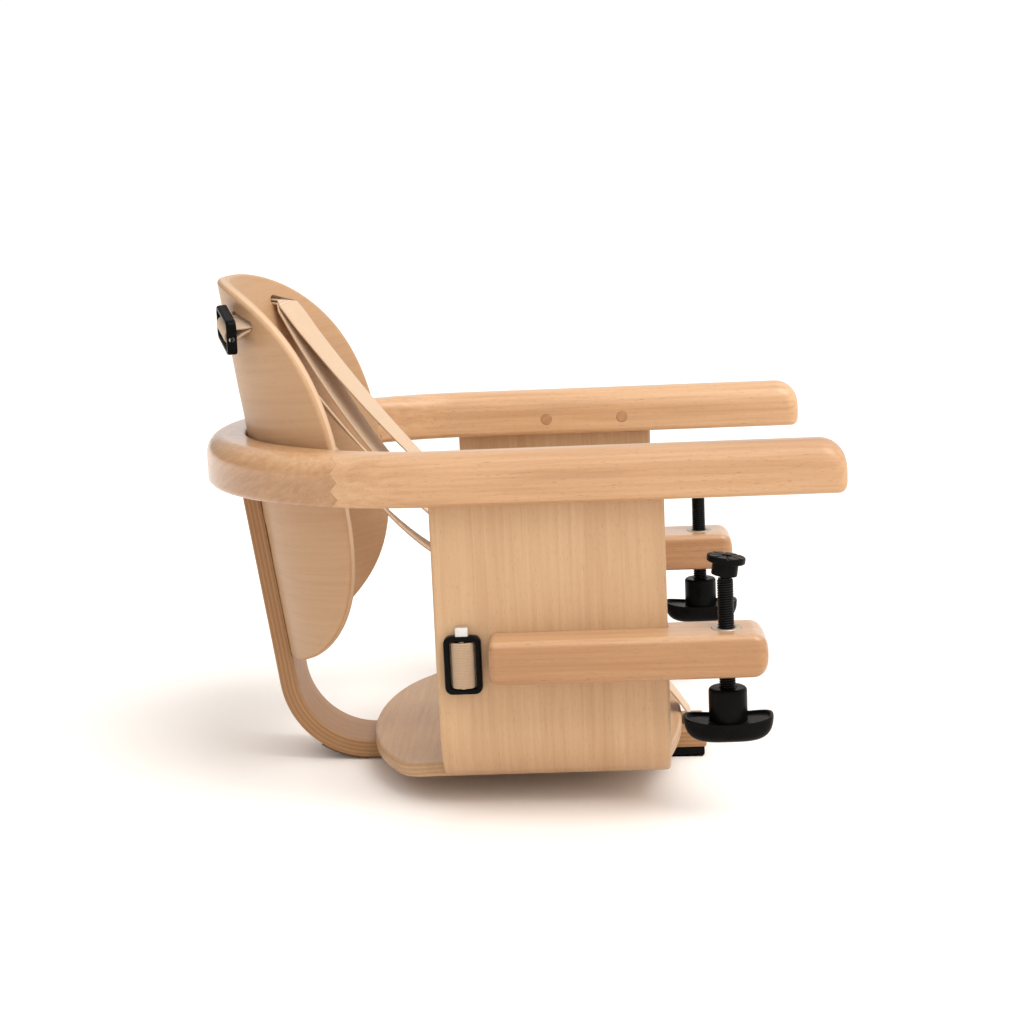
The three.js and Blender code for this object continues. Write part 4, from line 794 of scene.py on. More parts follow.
def ring_shape():
    """Bow and both arms in one, from the left arm's front end to the right one's."""
    left = []
    for distance, inset in nose(ARM_NOSE):
        section = bar_section(*ARM_SECTION, inset)
        left.append([(ARM_FRONT - distance, ARM_INNER_HALF + u, z) for u, z in section])
    bow = []
    for angle in spread(QUARTER, -QUARTER, BOW_STEPS):
        sharpness = min(BOW_SHARPENING * cos(angle), 1)
        inner_round = ARM_TOP_ROUND + (BOW_INNER_ROUND - ARM_TOP_ROUND) * sharpness
        section = bar_section(*ARM_SECTION, inner_round=inner_round)
        bow.append([bow_point(angle, u, z) for u, z in section])
    right = [[(x, -y, z) for x, y, z in ring] for ring in reversed(left)]
    return loft(left + bow + right)


def behind_joint(gap):
    """Everything behind the finger joint, whose face is shifted forwards by a gap."""
    middle = FINGER_JOINT_X + gap
    behind = BOW_CENTRE_X - ARM_OUTER_HALF - PAST
    half = FINGER_DEPTH / 2
    outline = [(behind, -PAST), (middle - half, -PAST)]
    for i in range(2 * FINGERS + 1):
        outline.append((middle + (half if i % 2 else -half), i / (2 * FINGERS) * ARM_HEIGHT))
    outline += [(middle - half, ARM_HEIGHT + PAST), (behind, ARM_HEIGHT + PAST)]
    return across_y(outline, ARM_OUTER_HALF + PAST)


def spine_mortise():
    """Room for the spine's upper end in the bow."""
    rear = SPINE_REAR + GAP
    top = SPINE_RISE + GAP
    outline = [
        (leaning_x(-PAST, rear), -PAST), (BOW_CENTRE_X, -PAST),
        (BOW_CENTRE_X, top), (leaning_x(top, rear), top),
    ]
    return across_y(outline, SPINE_WIDTH / 2 + GAP)


def straight_grain(point):
    return point.x, point.y, point.z


def bow_grain(point):
    """Grain of the two boards that the bow is cut from, slanting down towards the back."""
    along = point.x * cos(BOARD_TURN) + abs(point.y) * sin(BOARD_TURN)
    across = point.x * sin(BOARD_TURN) - abs(point.y) * cos(BOARD_TURN)
    return (
        along * cos(BOARD_TILT) + point.z * sin(BOARD_TILT),
        across,
        point.z * cos(BOARD_TILT) - along * sin(BOARD_TILT),
    )


def plug_grain(turn):
    """Grain across a plug's face, turned by an angle."""
    return lambda point: (
        point.x * cos(turn) + point.z * sin(turn),
        point.z * cos(turn) - point.x * sin(turn),
        point.y,
    )


ring = ring_shape()
bow = carve(raw("bow_wood", ring), [behind_joint(0)], "INTERSECT")
carve(bow, [spine_mortise()])
piece(bow, bow_beech, ["back_bow"], grain=bow_grain)

arm_half = block(
    FINGER_JOINT_X - ARM_WIDTH, ARM_FRONT + PAST, 0, ARM_OUTER_HALF + PAST, -PAST, ARM_HEIGHT + PAST,
)
arm_groove = block(
    -FINE_GAP, PANEL_DEPTH + FINE_GAP, PANEL_INNER_HALF - FINE_GAP, PANEL_OUTER_HALF + FINE_GAP,
    -PAST, PANEL_RISE + FINE_GAP,
)
plug_hole = cylinder(PLUG_RADIUS + PLUG_PLAY, -PLUG_DEPTH, PAST, segments=40)
plug_shape = lathe([
    (0, -PLUG_DEPTH, 0), (PLUG_RADIUS, -PLUG_DEPTH, 0.3),
    (PLUG_RADIUS, PLUG_PROUD, 0.4), (0, PLUG_PROUD, 0),
], steps=4, segments=40)
plug_frames = []
for share in PLUG_SHARES:
    plug_frames.append(facing(Vector((share * PANEL_DEPTH, ARM_INNER_HALF, PLUG_Z)), Vector((0, -1, 0))))
for side, sign in SIDES.items():
    arm = carve(raw("arm_wood_" + side, ring), [on_side(arm_half, sign)], "INTERSECT")
    holes = [moved(plug_hole, matrix, sign) for matrix in plug_frames]
    carve(arm, [behind_joint(GLUE_LINE), on_side(arm_groove, sign), *holes])
    piece(arm, arm_beech[side], ["arm_" + side], grain=straight_grain)
    for number, matrix in enumerate(plug_frames, 1):
        plug = solid(f"plug_{side}_{number}", plug_shape, matrix, sign)
        piece(plug, plug_beech, [f"arm_plug_{side}_{number}"], grain=plug_grain(number * PLUG_TURN))


# Backrest


def back_point(height, angle, radius):
    """Point at a height up the slope, an angle round from the middle and a radius from the axis."""
    axis_point = Vector((BOW_CENTRE_X, radius * sin(angle), 0)) + BACK_UP * height
    return axis_point - BACK_FORWARD * radius * cos(angle)


def back_outline():
    """Evenly spaced (round, height) points of the outline on the unrolled outer face."""
    fine = []
    for i in range(BACK_SAMPLES):
        turn = 2 * pi * i / BACK_SAMPLES
        top = sin(turn) >= 0
        power = 2 / (BACK_TOP_FULLNESS if top else BACK_BOTTOM_FULLNESS)
        reach = (BACK_TOP if top else BACK_BOTTOM) - BACK_WIDEST
        side = copysign(abs(cos(turn)) ** power, cos(turn))
        height = BACK_WIDEST + reach * abs(sin(turn)) ** power
        fine.append(Vector((BACK_OUTER * BACK_HALF_ANGLE * side, height)))
    lengths = [(fine[(i + 1) % BACK_SAMPLES] - fine[i]).length for i in range(BACK_SAMPLES)]
    step = sum(lengths) / BACK_POINTS
    points = []
    travelled = 0
    for point, length in zip(fine, lengths):
        if travelled >= len(points) * step and len(points) < BACK_POINTS:
            points.append(point)
        travelled += length
    return points


def back_shape():
    outline = back_outline()
    count = len(outline)
    normals = []
    for i in range(count):
        along = outline[(i + 1) % count] - outline[i - 1]
        normals.append(Vector((-along.y, along.x)).normalized())
    layers = []
    centre = Vector((0, BACK_WIDEST))

    def add_layer(inset, share, depth):
        ring = []
        for point, normal in zip(outline, normals):
            flat = centre.lerp(point + normal * inset, share)
            ring.append(tuple(back_point(flat.y, flat.x / BACK_OUTER, BACK_OUTER - depth)))
        layers.append(ring)

    turns = spread(0, QUARTER, BACK_EDGE_STEPS)
    for share in BACK_SHARES:
        add_layer(BACK_EDGE, share, 0)
    for turn in turns:
        add_layer(BACK_EDGE * (1 - sin(turn)), 1, BACK_EDGE * (1 - cos(turn)))
    for turn in turns:
        add_layer(BACK_EDGE * (1 - cos(turn)), 1, BACK_THICK - BACK_EDGE * (1 - sin(turn)))
    for share in reversed(BACK_SHARES):
        add_layer(BACK_EDGE, share, BACK_THICK)
    return loft(layers, caps=False)


def back_slot_frame():
    """Frame of the left slot in the backrest: x along the slot, z out of the back."""
    outward = Vector((0, sin(BACK_SLOT_ANGLE), 0)) - BACK_FORWARD * cos(BACK_SLOT_ANGLE)
    around = Vector((0, cos(BACK_SLOT_ANGLE), 0)) + BACK_FORWARD * sin(BACK_SLOT_ANGLE)
    along = around * cos(BACK_SLOT_SLOPE) - BACK_UP * sin(BACK_SLOT_SLOPE)
    return frame_of(back_point(BACK_SLOT_HEIGHT, BACK_SLOT_ANGLE, BACK_OUTER), along, outward)


def slot_tools(thickness, matrix):
    """Shapes of the left and right slot for a strap, through a board whose outer face is at z = 0."""
    outline = centred_rectangle(SLOT_LENGTH / 2, SLOT_WIDTH / 2, SLOT_WIDTH / 2 - HAIR, 8)
    return [moved(extruded(outline, -thickness - PAST, PAST), matrix, sign) for sign in SIDES.values()]


def back_grain(point):
    """Along the fibres round the back, height up the slope, and depth from the outer face."""
    offset = point - Vector((BOW_CENTRE_X, 0, 0))
    ahead = offset.dot(BACK_FORWARD)
    angle = atan2(point.y, -ahead)
    return angle * BACK_OUTER, offset.dot(BACK_UP), BACK_OUTER - hypot(point.y, ahead)


back_slot = back_slot_frame()
back = carve(raw("back_panel", back_shape()), slot_tools(BACK_THICK, back_slot))
piece(back, back_ply, ["backrest"], grain=back_grain)


# Seat shell


def seat_ends(y):
    """Rear and front edge of the shell at a distance from the middle plane."""
    rear = 0
    front = PANEL_DEPTH
    if abs(y) < REAR_TONGUE_HALF:
        rear = -REAR_TONGUE * sqrt(1 - (y / REAR_TONGUE_HALF) ** 2)
    if abs(y) < FRONT_TONGUE_HALF:
        front = SEAT_FRONT - FRONT_TONGUE_RADIUS + sqrt(FRONT_TONGUE_RADIUS**2 - y**2)
    return rear, front


def seat_shape():
    """Loft from the top of one side panel, round under the seat, to the top of the other."""
    down, to_corner, past_corner, to_middle = SEAT_STEPS
    half = [((PANEL_OUTER_HALF, z), (1, 0)) for z in spread(PANEL_RISE, SEAT_BEND_Z, down)[:-1]]
    corner = acos((REAR_TONGUE_HALF - SEAT_BEND_Y) / SEAT_BEND)
    turns = spread(0, corner, to_corner)[:-1]
    turns += [corner + (QUARTER - corner) * share**SEAT_CROWDING for share in spread(0, 1, past_corner)]
    for turn in turns:
        normal = (cos(turn), -sin(turn))
        half.append(((SEAT_BEND_Y + SEAT_BEND * normal[0], SEAT_BEND_Z + SEAT_BEND * normal[1]), normal))
    half += [((y, -SEAT_DROP), (0, -1)) for y in spread(SEAT_BEND_Y, 0, to_middle)[1:]]
    other = [((-y, z), (-ny, nz)) for (y, z), (ny, nz) in reversed(half[:-1])]
    rings = []
    for (y, z), (ny, nz) in half + other:
        section = rounded_rectangle(*seat_ends(y), 0, PANEL_THICK, PANEL_EDGE, 5)
        rings.append([(x, y - ny * depth, z - nz * depth) for x, depth in section])
    return loft(rings)


def seat_grain(point):
    """Along the fibres down the panels and across the seat, along the seat, and depth."""
    out = max(abs(point.y) - SEAT_BEND_Y, 0)
    down = max(SEAT_BEND_Z - point.z, 0)
    if point.z >= SEAT_BEND_Z:
        along = SEAT_BEND_Y + SEAT_BEND * QUARTER + point.z - SEAT_BEND_Z
    else:
        along = min(abs(point.y), SEAT_BEND_Y) + SEAT_BEND * atan2(out, down)
    return copysign(along, point.y), point.x, SEAT_BEND - hypot(out, down)


waist_slot = frame_of(WAIST_SLOT, Vector((0, 0, 1)), Vector((0, 1, 0)))
seat = carve(raw("seat_panel", seat_shape()), slot_tools(PANEL_THICK, waist_slot))
piece(seat, seat_ply, ["seat_shell"], grain=seat_grain)


# Spine


def spine_path():
    """Points of the rear and lower face as (x, z, outward x, outward z)."""
    down, round_bend, along_foot = SPINE_STEPS
    bend = []
    for turn in spread(pi + LEAN, 1.5 * pi, round_bend):
        out = (cos(turn), sin(turn))
        bend.append((SPINE_BEND_X + SPINE_BEND * out[0], SPINE_BEND_Z + SPINE_BEND * out[1], *out))
    end_x, end_z, *out = bend[0]
    xs = spread(leaning_x(SPINE_RISE, SPINE_REAR), end_x, down)
    upper = [(x, z, *out) for x, z in zip(xs, spread(SPINE_RISE, end_z, down))]
    foot = [(x, SPINE_BOTTOM_Z, 0, -1) for x in spread(SPINE_BEND_X, SPINE_FRONT - SPINE_EDGE, along_foot)]
    return upper[:-1] + bend + foot[1:]


def spine_shape():
    rings = []
    half = SPINE_WIDTH / 2
    section = rounded_rectangle(-half, half, 0, SPINE_THICK, SPINE_EDGE, 4)
    for x, z, out_x, out_z in spine_path():
        rings.append([(x - out_x * depth, y, z - out_z * depth) for y, depth in section])
    for turn in spread(0, QUARTER, SPINE_EDGE_STEPS)[1:]:
        inset = SPINE_EDGE * (1 - cos(turn))
        end = rounded_rectangle(inset - half, half - inset, inset, SPINE_THICK - inset, SPINE_EDGE, 4)
        x = SPINE_FRONT - SPINE_EDGE * (1 - sin(turn))
        rings.append([(x, y, SPINE_BOTTOM_Z + depth) for y, depth in end])
    return loft(rings)


def spine_grain(point):
    """Along the strip, across it, and depth from its rear and lower face."""
    ahead = point.x - SPINE_BEND_X
    rise = point.z - SPINE_BEND_Z
    if ahead > 0 and rise < 0:
        return ahead, point.y, point.z - SPINE_BOTTOM_Z
    turn = atan2(-ahead, -rise)
    if turn < QUARTER - LEAN:
        return -turn * SPINE_BEND, point.y, SPINE_BEND - hypot(ahead, rise)
    offset = point - Vector((BOW_CENTRE_X, 0, 0))
    return -SPINE_BEND * 1.5 - offset.dot(BACK_UP), point.y, SPINE_REAR + offset.dot(BACK_FORWARD)


def sunk_hole(head_radius, shank_radius, length):
    """Countersunk hole for a screw whose head is at z = 0 and whose point is up the z axis."""
    mouth = head_radius + SCREW_EDGE
    shank = shank_radius + GAP
    return turned([
        (0, -PAST), (mouth, -PAST), (mouth, GAP),
        (shank, SCREW_SINK + GAP), (shank, length + GAP), (0, length + GAP),
    ], segments=40)


sunk_screws = []
for height in BACK_SCREW_HEIGHTS:
    sunk_screws.append((facing(back_point(height, 0, SPINE_REAR), BACK_FORWARD), BACK_SCREW))
for share in SEAT_SCREW_SHARES:
    place = Vector((share * PANEL_DEPTH, 0, SPINE_BOTTOM_Z))
    sunk_screws.append((facing(place, Vector((0, 0, 1))), SEAT_SCREW))
back_room = moved(
    cylinder(ARM_INNER_HALF, BACK_BOTTOM - GAP, BACK_TOP, segments=144),
    frame_of(Vector((BOW_CENTRE_X, 0, 0)), BACK_FORWARD, BACK_UP),
)
strap_recess = block(
    SEAT_FRONT - CROTCH_GRIP - GAP, SPINE_FRONT + PAST, -STRAP_WIDTH / 2 - GAP, STRAP_WIDTH / 2 + GAP,
    SPINE_TOP_Z - STRAP_THICK - GAP, SPINE_TOP_Z + PAST,
)
screw_holes = [moved(sunk_hole(*sizes), matrix) for matrix, sizes in sunk_screws]
spine = carve(raw("spine_strip", spine_shape()), [back_room, strap_recess, *screw_holes])
piece(spine, spine_ply, ["spine"], grain=spine_grain)


# Feet


def foot_shape():
    """Rubber foot with shallow grooves across its underside."""
    front = SPINE_FRONT - FOOT_SETBACK
    rear = front - FOOT_LENGTH
    bottom = FLOOR_Z + GROOVE_DEPTH
    mouth, base = GROOVE_HALF
    corners = [(front, FOOT_TOP_Z, 0.3), (rear, FOOT_TOP_Z, 0.3), (rear, FLOOR_Z, 2)]
    for x in spread(rear, front, FOOT_GROOVES + 1)[1:-1]:
        corners += [(x - mouth, FLOOR_Z, 0.2), (x - base, bottom, 0.2)]
        corners += [(x + base, bottom, 0.2), (x + mouth, FLOOR_Z, 0.2)]
    corners.append((front, FLOOR_Z, 2))
    return across_y(filleted(corners, 3), SPINE_WIDTH / 2)


def heel_shape():
    inner = SPINE_BEND + GAP
    turns = [1.5 * pi - angle for angle in spread(*HEEL_ENDS, HEEL_STEPS)]
    ways = [(inner + HEEL_THICK, turn) for turn in turns] + [(inner, turn) for turn in reversed(turns)]
    outline = []
    for radius, turn in ways:
        outline.append((SPINE_BEND_X + radius * cos(turn), SPINE_BEND_Z + radius * sin(turn)))
    return across_y(outline, SPINE_WIDTH / 2 - HEEL_SETBACK)


piece(bevel(raw("foot_rubber", foot_shape()), FOOT_EDGE), black_rubber, ["front_foot"])
piece(bevel(raw("heel_strip", heel_shape()), HEEL_EDGE, segments=2), heel_felt, ["heel_pad"])


# Clamps


def clamp_bar_shape():
    stations = [(BAR_REAR + distance, inset) for distance, inset in nose(BAR_TAIL)]
    stations += [(BAR_FRONT - distance, inset) for distance, inset in reversed(nose(BAR_NOSE))]
    rings = []
    for x, inset in stations:
        section = bar_section(BAR_WIDTH, BAR_HEIGHT, BAR_ROUND, BAR_ROUND, inset)
        rings.append([(x, BAR_INNER_HALF + u, BAR_BOTTOM_Z + z) for u, z in section])
    return loft(rings)


def bar_bore():
    """Hole for the rod, and above it for the threaded insert and its flange."""
    rod = ROD_RADIUS + 2 * GAP
    sleeve = INSERT_RADIUS + GAP
    flange = INSERT_FLANGE + FINE_GAP
    step = BAR_TOP_Z - INSERT_LENGTH
    seat = BAR_TOP_Z - INSERT_RIM + FINE_GAP
    return turned([
        (0, BAR_BOTTOM_Z - PAST), (rod, BAR_BOTTOM_Z - PAST), (rod, step), (sleeve, step),
        (sleeve, seat), (flange, seat), (flange, BAR_TOP_Z + PAST), (0, BAR_TOP_Z + PAST),
    ])


def insert_shape():
    top = BAR_TOP_Z + INSERT_PROUD
    low = top - INSERT_LENGTH
    rim = top - INSERT_RIM
    return lathe([
        (ROD_BORE, low, 0), (INSERT_RADIUS, low, 0.4), (INSERT_RADIUS, rim, 0),
        (INSERT_FLANGE, rim, 0.2), (INSERT_FLANGE, top, 0.5), (ROD_BORE + INSERT_CHAMFER, top, 0.2),
        (ROD_BORE, top - INSERT_CHAMFER, 0), (ROD_BORE, low, 0),
    ], steps=4, segments=56, caps=False)


def clamp_screw_shape():
    """Threaded rod with a neck and a ball on its upper end."""
    low = BAR_BOTTOM_Z - KNOB_GAP - ROD_ENTRY
    high = BALL_Z - NECK_DROP
    rings = []
    for z in spread(low, high, round((high - low) / THREAD_PITCH * THREAD_ROWS)):
        ends = min(1, (high - z) / THREAD_PITCH)
        ring = []
        for i in range(THREAD_SEGMENTS):
            phase = (z / THREAD_PITCH - i / THREAD_SEGMENTS) % 1
            crest = min(THREAD_FLANK * abs(phase - 0.5), 1)
            radius = THREAD_ROOT + (ROD_RADIUS - THREAD_ROOT) * crest * ends
            ring.append(polar(radius, 2 * pi * i / THREAD_SEGMENTS, z))
        rings.append(ring)
    rings.append(circle(NECK_RADIUS, high, THREAD_SEGMENTS))
    for turn in spread(pi - asin(NECK_RADIUS / BALL_RADIUS), 0, BALL_STEPS):
        z = BALL_Z + BALL_RADIUS * cos(turn)
        rings.append(circle(BALL_RADIUS * sin(turn), z, THREAD_SEGMENTS))
    return loft(rings)


def grip_ring(share, inset, z, least=0):
    """Outline of the knob's grip from above, at a share of its size and less an inset."""
    length = share * KNOB_HALF_LENGTH - inset
    width = share * KNOB_HALF_WIDTH - inset
    ring = []
    for i in range(KNOB_SEGMENTS):
        turn = 2 * pi * i / KNOB_SEGMENTS
        along = abs(cos(turn) / length) ** KNOB_SQUARENESS
        across = abs(sin(turn) / width) ** KNOB_SQUARENESS
        ring.append(polar(max((along + across) ** (-1 / KNOB_SQUARENESS), least), turn, z))
    return ring


def knob_shape():
    """Long grip with a round hub, a hollow top, upswept ends and a bowl underneath."""
    hub_top = BAR_BOTTOM_Z - KNOB_GAP
    rim = hub_top - KNOB_HUB_HEIGHT
    low = rim - KNOB_DISH
    hub = filleted([
        (0, hub_top - ROD_ENTRY, 0), (ROD_BORE, hub_top - ROD_ENTRY, 0), (ROD_BORE, hub_top, 0.5),
        (KNOB_HUB_RADIUS, hub_top, 1.8), (KNOB_HUB_RADIUS, low, 0.6), (KNOB_HUB_FOOT, low, 0),
    ], 5, closed=False)
    rings = [circle(radius, z, KNOB_SEGMENTS) for radius, z in hub]
    lip = filleted([
        (KNOB_LIP + 1.2, low, 0), (KNOB_LIP, low, 0.9), (KNOB_LIP, rim, 0.8),
        (0, rim, 0.8), (0, rim - 1.6, 0),
    ], 5, closed=False)
    for number, (inset, z) in enumerate(lip):
        least = KNOB_HUB_FOOT + KNOB_RING_GAP + KNOB_RING_STEP * number
        rings.append(grip_ring(1, inset, z, least))
    for turn in spread(0, QUARTER, KNOB_STEPS)[1:]:
        out = abs(cos(turn)) ** (2 / KNOB_FULLNESS)
        down = sin(turn) ** (2 / KNOB_FULLNESS)
        rings.append(grip_ring(KNOB_FOOT_SHARE + (1 - KNOB_FOOT_SHARE) * out, 0, rim - KNOB_HEIGHT * down))
    rings.append([(0, 0, rim - KNOB_HEIGHT)] * KNOB_SEGMENTS)

    def dipped(x, y, z):
        share = max(0, min((z - rim + KNOB_HEIGHT) / KNOB_HEIGHT, (hub_top - z) / KNOB_HUB_HEIGHT, 1))
        return x, y, z - KNOB_SHEER * share * (1 - (x / KNOB_HALF_LENGTH) ** 2)

    return loft([[dipped(*point) for point in ring] for ring in rings], caps=False)


def pad_shape():
    """Swivel pad about the ball's centre: a hub, and a disc with radial grooves in its face."""
    low = -BALL_DEPTH
    high = PAD_HEIGHT - BALL_DEPTH
    roof = BALL_RADIUS + GAP
    mouth = low + PAD_MOUTH_DEPTH
    dimple = high - PAD_DIMPLE_DEPTH
    groove = high - PAD_GROOVE_DEPTH
    profile = filleted([
        (0, roof, 0), (BALL_SOCKET, roof, 0.5), (BALL_SOCKET, mouth, 0), (PAD_MOUTH, mouth, 0),
        (PAD_MOUTH, low, 0.2), (PAD_HUB, low, 0.8), (PAD_HUB, high - PAD_DISC, 1),
        (PAD_RADIUS, high - PAD_DISC, 1), (PAD_RADIUS, high, 1.1),
        (PAD_DIMPLE[0], high, 0.4), (PAD_DIMPLE[1], dimple, 0.3), (0, dimple, 0),
    ], 4, closed=False)
    segments = PAD_GROOVE_SEGMENTS * PAD_GROOVES
    rings = []
    for radius, z in profile:
        ring = []
        for i in range(segments):
            grooved = radius > PAD_DIMPLE[1] and z > groove and i % PAD_GROOVE_SEGMENTS < 2
            ring.append(polar(radius, 2 * pi * i / segments, groove if grooved else z))
        rings.append(ring)
    return loft(rings, caps=False)


def screw(name, node, look, sizes, recess, matrix, sign=1, proud=0):
    """Screw with a cross recess, its face at z = 0 and its point up the z axis. It is sunk, if not proud."""
    head_radius, shank_radius, length = sizes
    flank = (head_radius, proud, 0.5) if proud else (head_radius, SCREW_EDGE, 0)
    body = lathe([
        (0, 0, 0), (head_radius - SCREW_EDGE, 0, 0.4), flank, (shank_radius, proud or SCREW_SINK, 0),
        (shank_radius, length - SCREW_POINT, 0), (0, length, 0),
    ], steps=4, segments=40)
    arm = RECESS_ARM * recess
    cross = [block(-x, x, -y, y, -PAST, RECESS_DEPTH) for x, y in ((recess, arm), (arm, recess))]
    piece(solid(name, body, matrix, sign, cross), look, [node])


bar_screw_y = PANEL_INNER_HALF - BAR_SCREW_PROUD - GAP
bar_middle_z = BAR_BOTTOM_Z + BAR_HEIGHT / 2
bar_rebate = block(
    BAR_REAR - PAST, PANEL_DEPTH + GAP, BAR_INNER_HALF - PAST, PANEL_OUTER_HALF + GAP,
    BAR_BOTTOM_Z - PAST, BAR_TOP_Z + PAST,
)
for side, sign in SIDES.items():
    spot = Matrix.Translation((CLAMP_X, sign * CLAMP_Y, 0))
    tilt = Matrix.Translation((CLAMP_X, sign * CLAMP_Y, BALL_Z)) @ Matrix.Rotation(PAD_TILT, 4, "Y")
    screw_body = "clamp_screw_" + side
    pad_body = "pressure_pad_" + side
    bar = raw("clamp_beam_" + side, on_side(clamp_bar_shape(), sign))
    carve(bar, [on_side(bar_rebate, sign), moved(bar_bore(), spot)])
    piece(bar, bar_beech, ["clamp_bar_" + side], grain=straight_grain)
    for number, share in enumerate(BAR_SCREW_SHARES, 1):
        matrix = facing(Vector((share * PANEL_DEPTH, bar_screw_y, bar_middle_z)), Vector((0, 1, 0)))
        name = f"bar_fixing_{side}_{number}"
        node = f"bar_screw_{side}_{number}"
        screw(name, node, black_steel, BAR_SCREW, BAR_RECESS, matrix, sign, BAR_SCREW_PROUD)
    insert = solid("insert_sleeve_" + side, insert_shape(), spot)
    piece(insert, insert_zinc, ["threaded_insert_" + side])
    rod = solid("threaded_rod_" + side, clamp_screw_shape(), spot)
    piece(rod, black_steel, ["clamp_screw_" + side], screw_body, sharp=50)
    knob = solid("hand_knob_" + side, knob_shape(), spot)
    piece(knob, black_plastic, ["knob_" + side], screw_body, sharp=50)
    pad = solid("swivel_pad_" + side, pad_shape(), tilt)
    piece(pad, black_plastic, ["pressure_pad_" + side], pad_body)

sunk_nodes = ("back_screw_1", "back_screw_2", "seat_screw_1", "seat_screw_2")
for node, (matrix, sizes) in zip(sunk_nodes, sunk_screws):
    screw(node + "_head", node, zinc, sizes, SUNK_RECESS, matrix)


# Strap sliders and their pins


def slider_shape():
    """Rounded frame round an opening, with rounded edges."""
    half_x = SLIDER_LENGTH / 2
    half_y = SLIDER_OPENING / 2
    outer = centred_rectangle(half_x + SLIDER_RIM, half_y + SLIDER_RIM, SLIDER_OUTER_CORNER, 6)
    inner = centred_rectangle(half_x, half_y, SLIDER_INNER_CORNER, 6)
    section = filleted([(0, 0, 0.15), (1, 0, 0.15), (1, 1, 0.3), (0, 1, 0.3)], 4)
    rings = []
    for (xo, yo), (xi, yi) in zip(outer, inner):
        ring = []
        for u, v in section:
            ring.append((xo + (xi - xo) * u, yo + (yi - yo) * u, SLIDER_LIFT + SLIDER_THICK * v))
        rings.append(ring)
    return loft(rings, loop=True)


def pin_shape():
    start = -SLIDER_LENGTH / 2 - PIN_HOLD
    corners = [(0, start, 0), (PIN_RADIUS, start, 0.4), (PIN_RADIUS, SLIDER_END, 0.7), (0, SLIDER_END, 0)]
    return moved(lathe(corners, steps=4, segments=32), along_slot)


def pin_head():
    """Blunt head on the upper end of a waist pin, with rounded edges."""
    end = SLIDER_END + WAIST_PIN_PROUD
    rings = []
    for inset, z in ((0, SLIDER_END - FINE_GAP), (0, end - 1), (0.3, end - 0.3), (1, end)):
        outline = centred_rectangle(WAIST_HEAD_THICK / 2 - inset, WAIST_HEAD_WIDTH / 2 - inset, 0.9, 5)
        rings.append(at_height(outline, z))
    return moved(loft(rings), along_slot)


along_slot = Matrix.Translation((0, 0, PIN_Z)) @ Matrix.Rotation(QUARTER, 4, "Y")
inner_end = Vector((-SLIDER_END, 0, 0))
hung_slot = (
    back_slot
    @ Matrix.Translation(inner_end + Vector((0, HANG_DROP, HANG_LIFT)))
    @ Matrix.Rotation(-HANG_TILT, 4, "Y")
    @ Matrix.Translation(-inner_end)
)
for side, sign in SIDES.items():
    for place, matrix in (("shoulder", hung_slot), ("waist", waist_slot)):
        slider = solid(f"{place}_frame_{side}", slider_shape(), matrix, sign)
        piece(slider, black_plastic, [f"{place}_slider_{side}"])
        pin = solid(f"{place}_rod_{side}", pin_shape(), matrix, sign)
        piece(pin, zinc, [f"{place}_pin_{side}"])
    piece(solid("waist_head_" + side, pin_head(), waist_slot, sign), pale_zinc)


# Buckle


def housing_shape():
    """Crowned case with rounded edges, from levels of (inset, height)."""
    back = -HOUSING_THICK / 2
    face = HOUSING_THICK / 2
    levels = [(2.2, back), (0.8, back + 0.35), (0.15, back + 1.1), (0, back + 2.2), (0, face - 5)]
    levels += [(0.3, face - 3.4), (1.1, face - 1.9), (2.6, face - 0.8), (5, face - 0.2), (8, face)]
    rings = []
    for inset, z in levels:
        half_x, half_y = [half - inset for half in HOUSING_HALF]
        corner = max(HOUSING_CORNER - inset, HOUSING_LEAST_CORNER)
        rings.append(at_height(centred_rectangle(half_x, half_y, corner, 7), z))
    return loft(rings)


def button_shape():
    top = HOUSING_THICK / 2 + BUTTON_PROUD
    low = top - BUTTON_THICK
    hollow = top - BUTTON_HOLLOW
    return lathe([
        (0, low, 0), (BUTTON_RADIUS, low, 0.3), (BUTTON_RADIUS, top, 0.9),
        (BUTTON_RADIUS - 2, top, 0.8), (BUTTON_RADIUS - 3, hollow, 1), (0, hollow, 0),
    ], steps=5, segments=56)


def tongue_shape():
    """Plate with a shoulder bar and a waist bar, and a blade that goes into the case."""
    tip = TONGUE_INNER - BLADE_LENGTH
    outline = filleted([
        (tip, -BLADE_HALF, 1.5), (TONGUE_INNER, -BLADE_HALF, 0), (TONGUE_INNER, TONGUE_LOW, 3),
        (TONGUE_OUTER, TONGUE_LOW, 4), (TONGUE_OUTER, TONGUE_HIGH, 4), (TONGUE_INNER, TONGUE_HIGH, 3),
        (TONGUE_INNER, BLADE_HALF, 0), (tip, BLADE_HALF, 1.5),
    ], 5)
    return extruded(outline, -half_tongue, half_tongue)


def strap_slot(x0, x1, y0, y1):
    return block(x0, x1, y0, y1, -PAST, PAST)


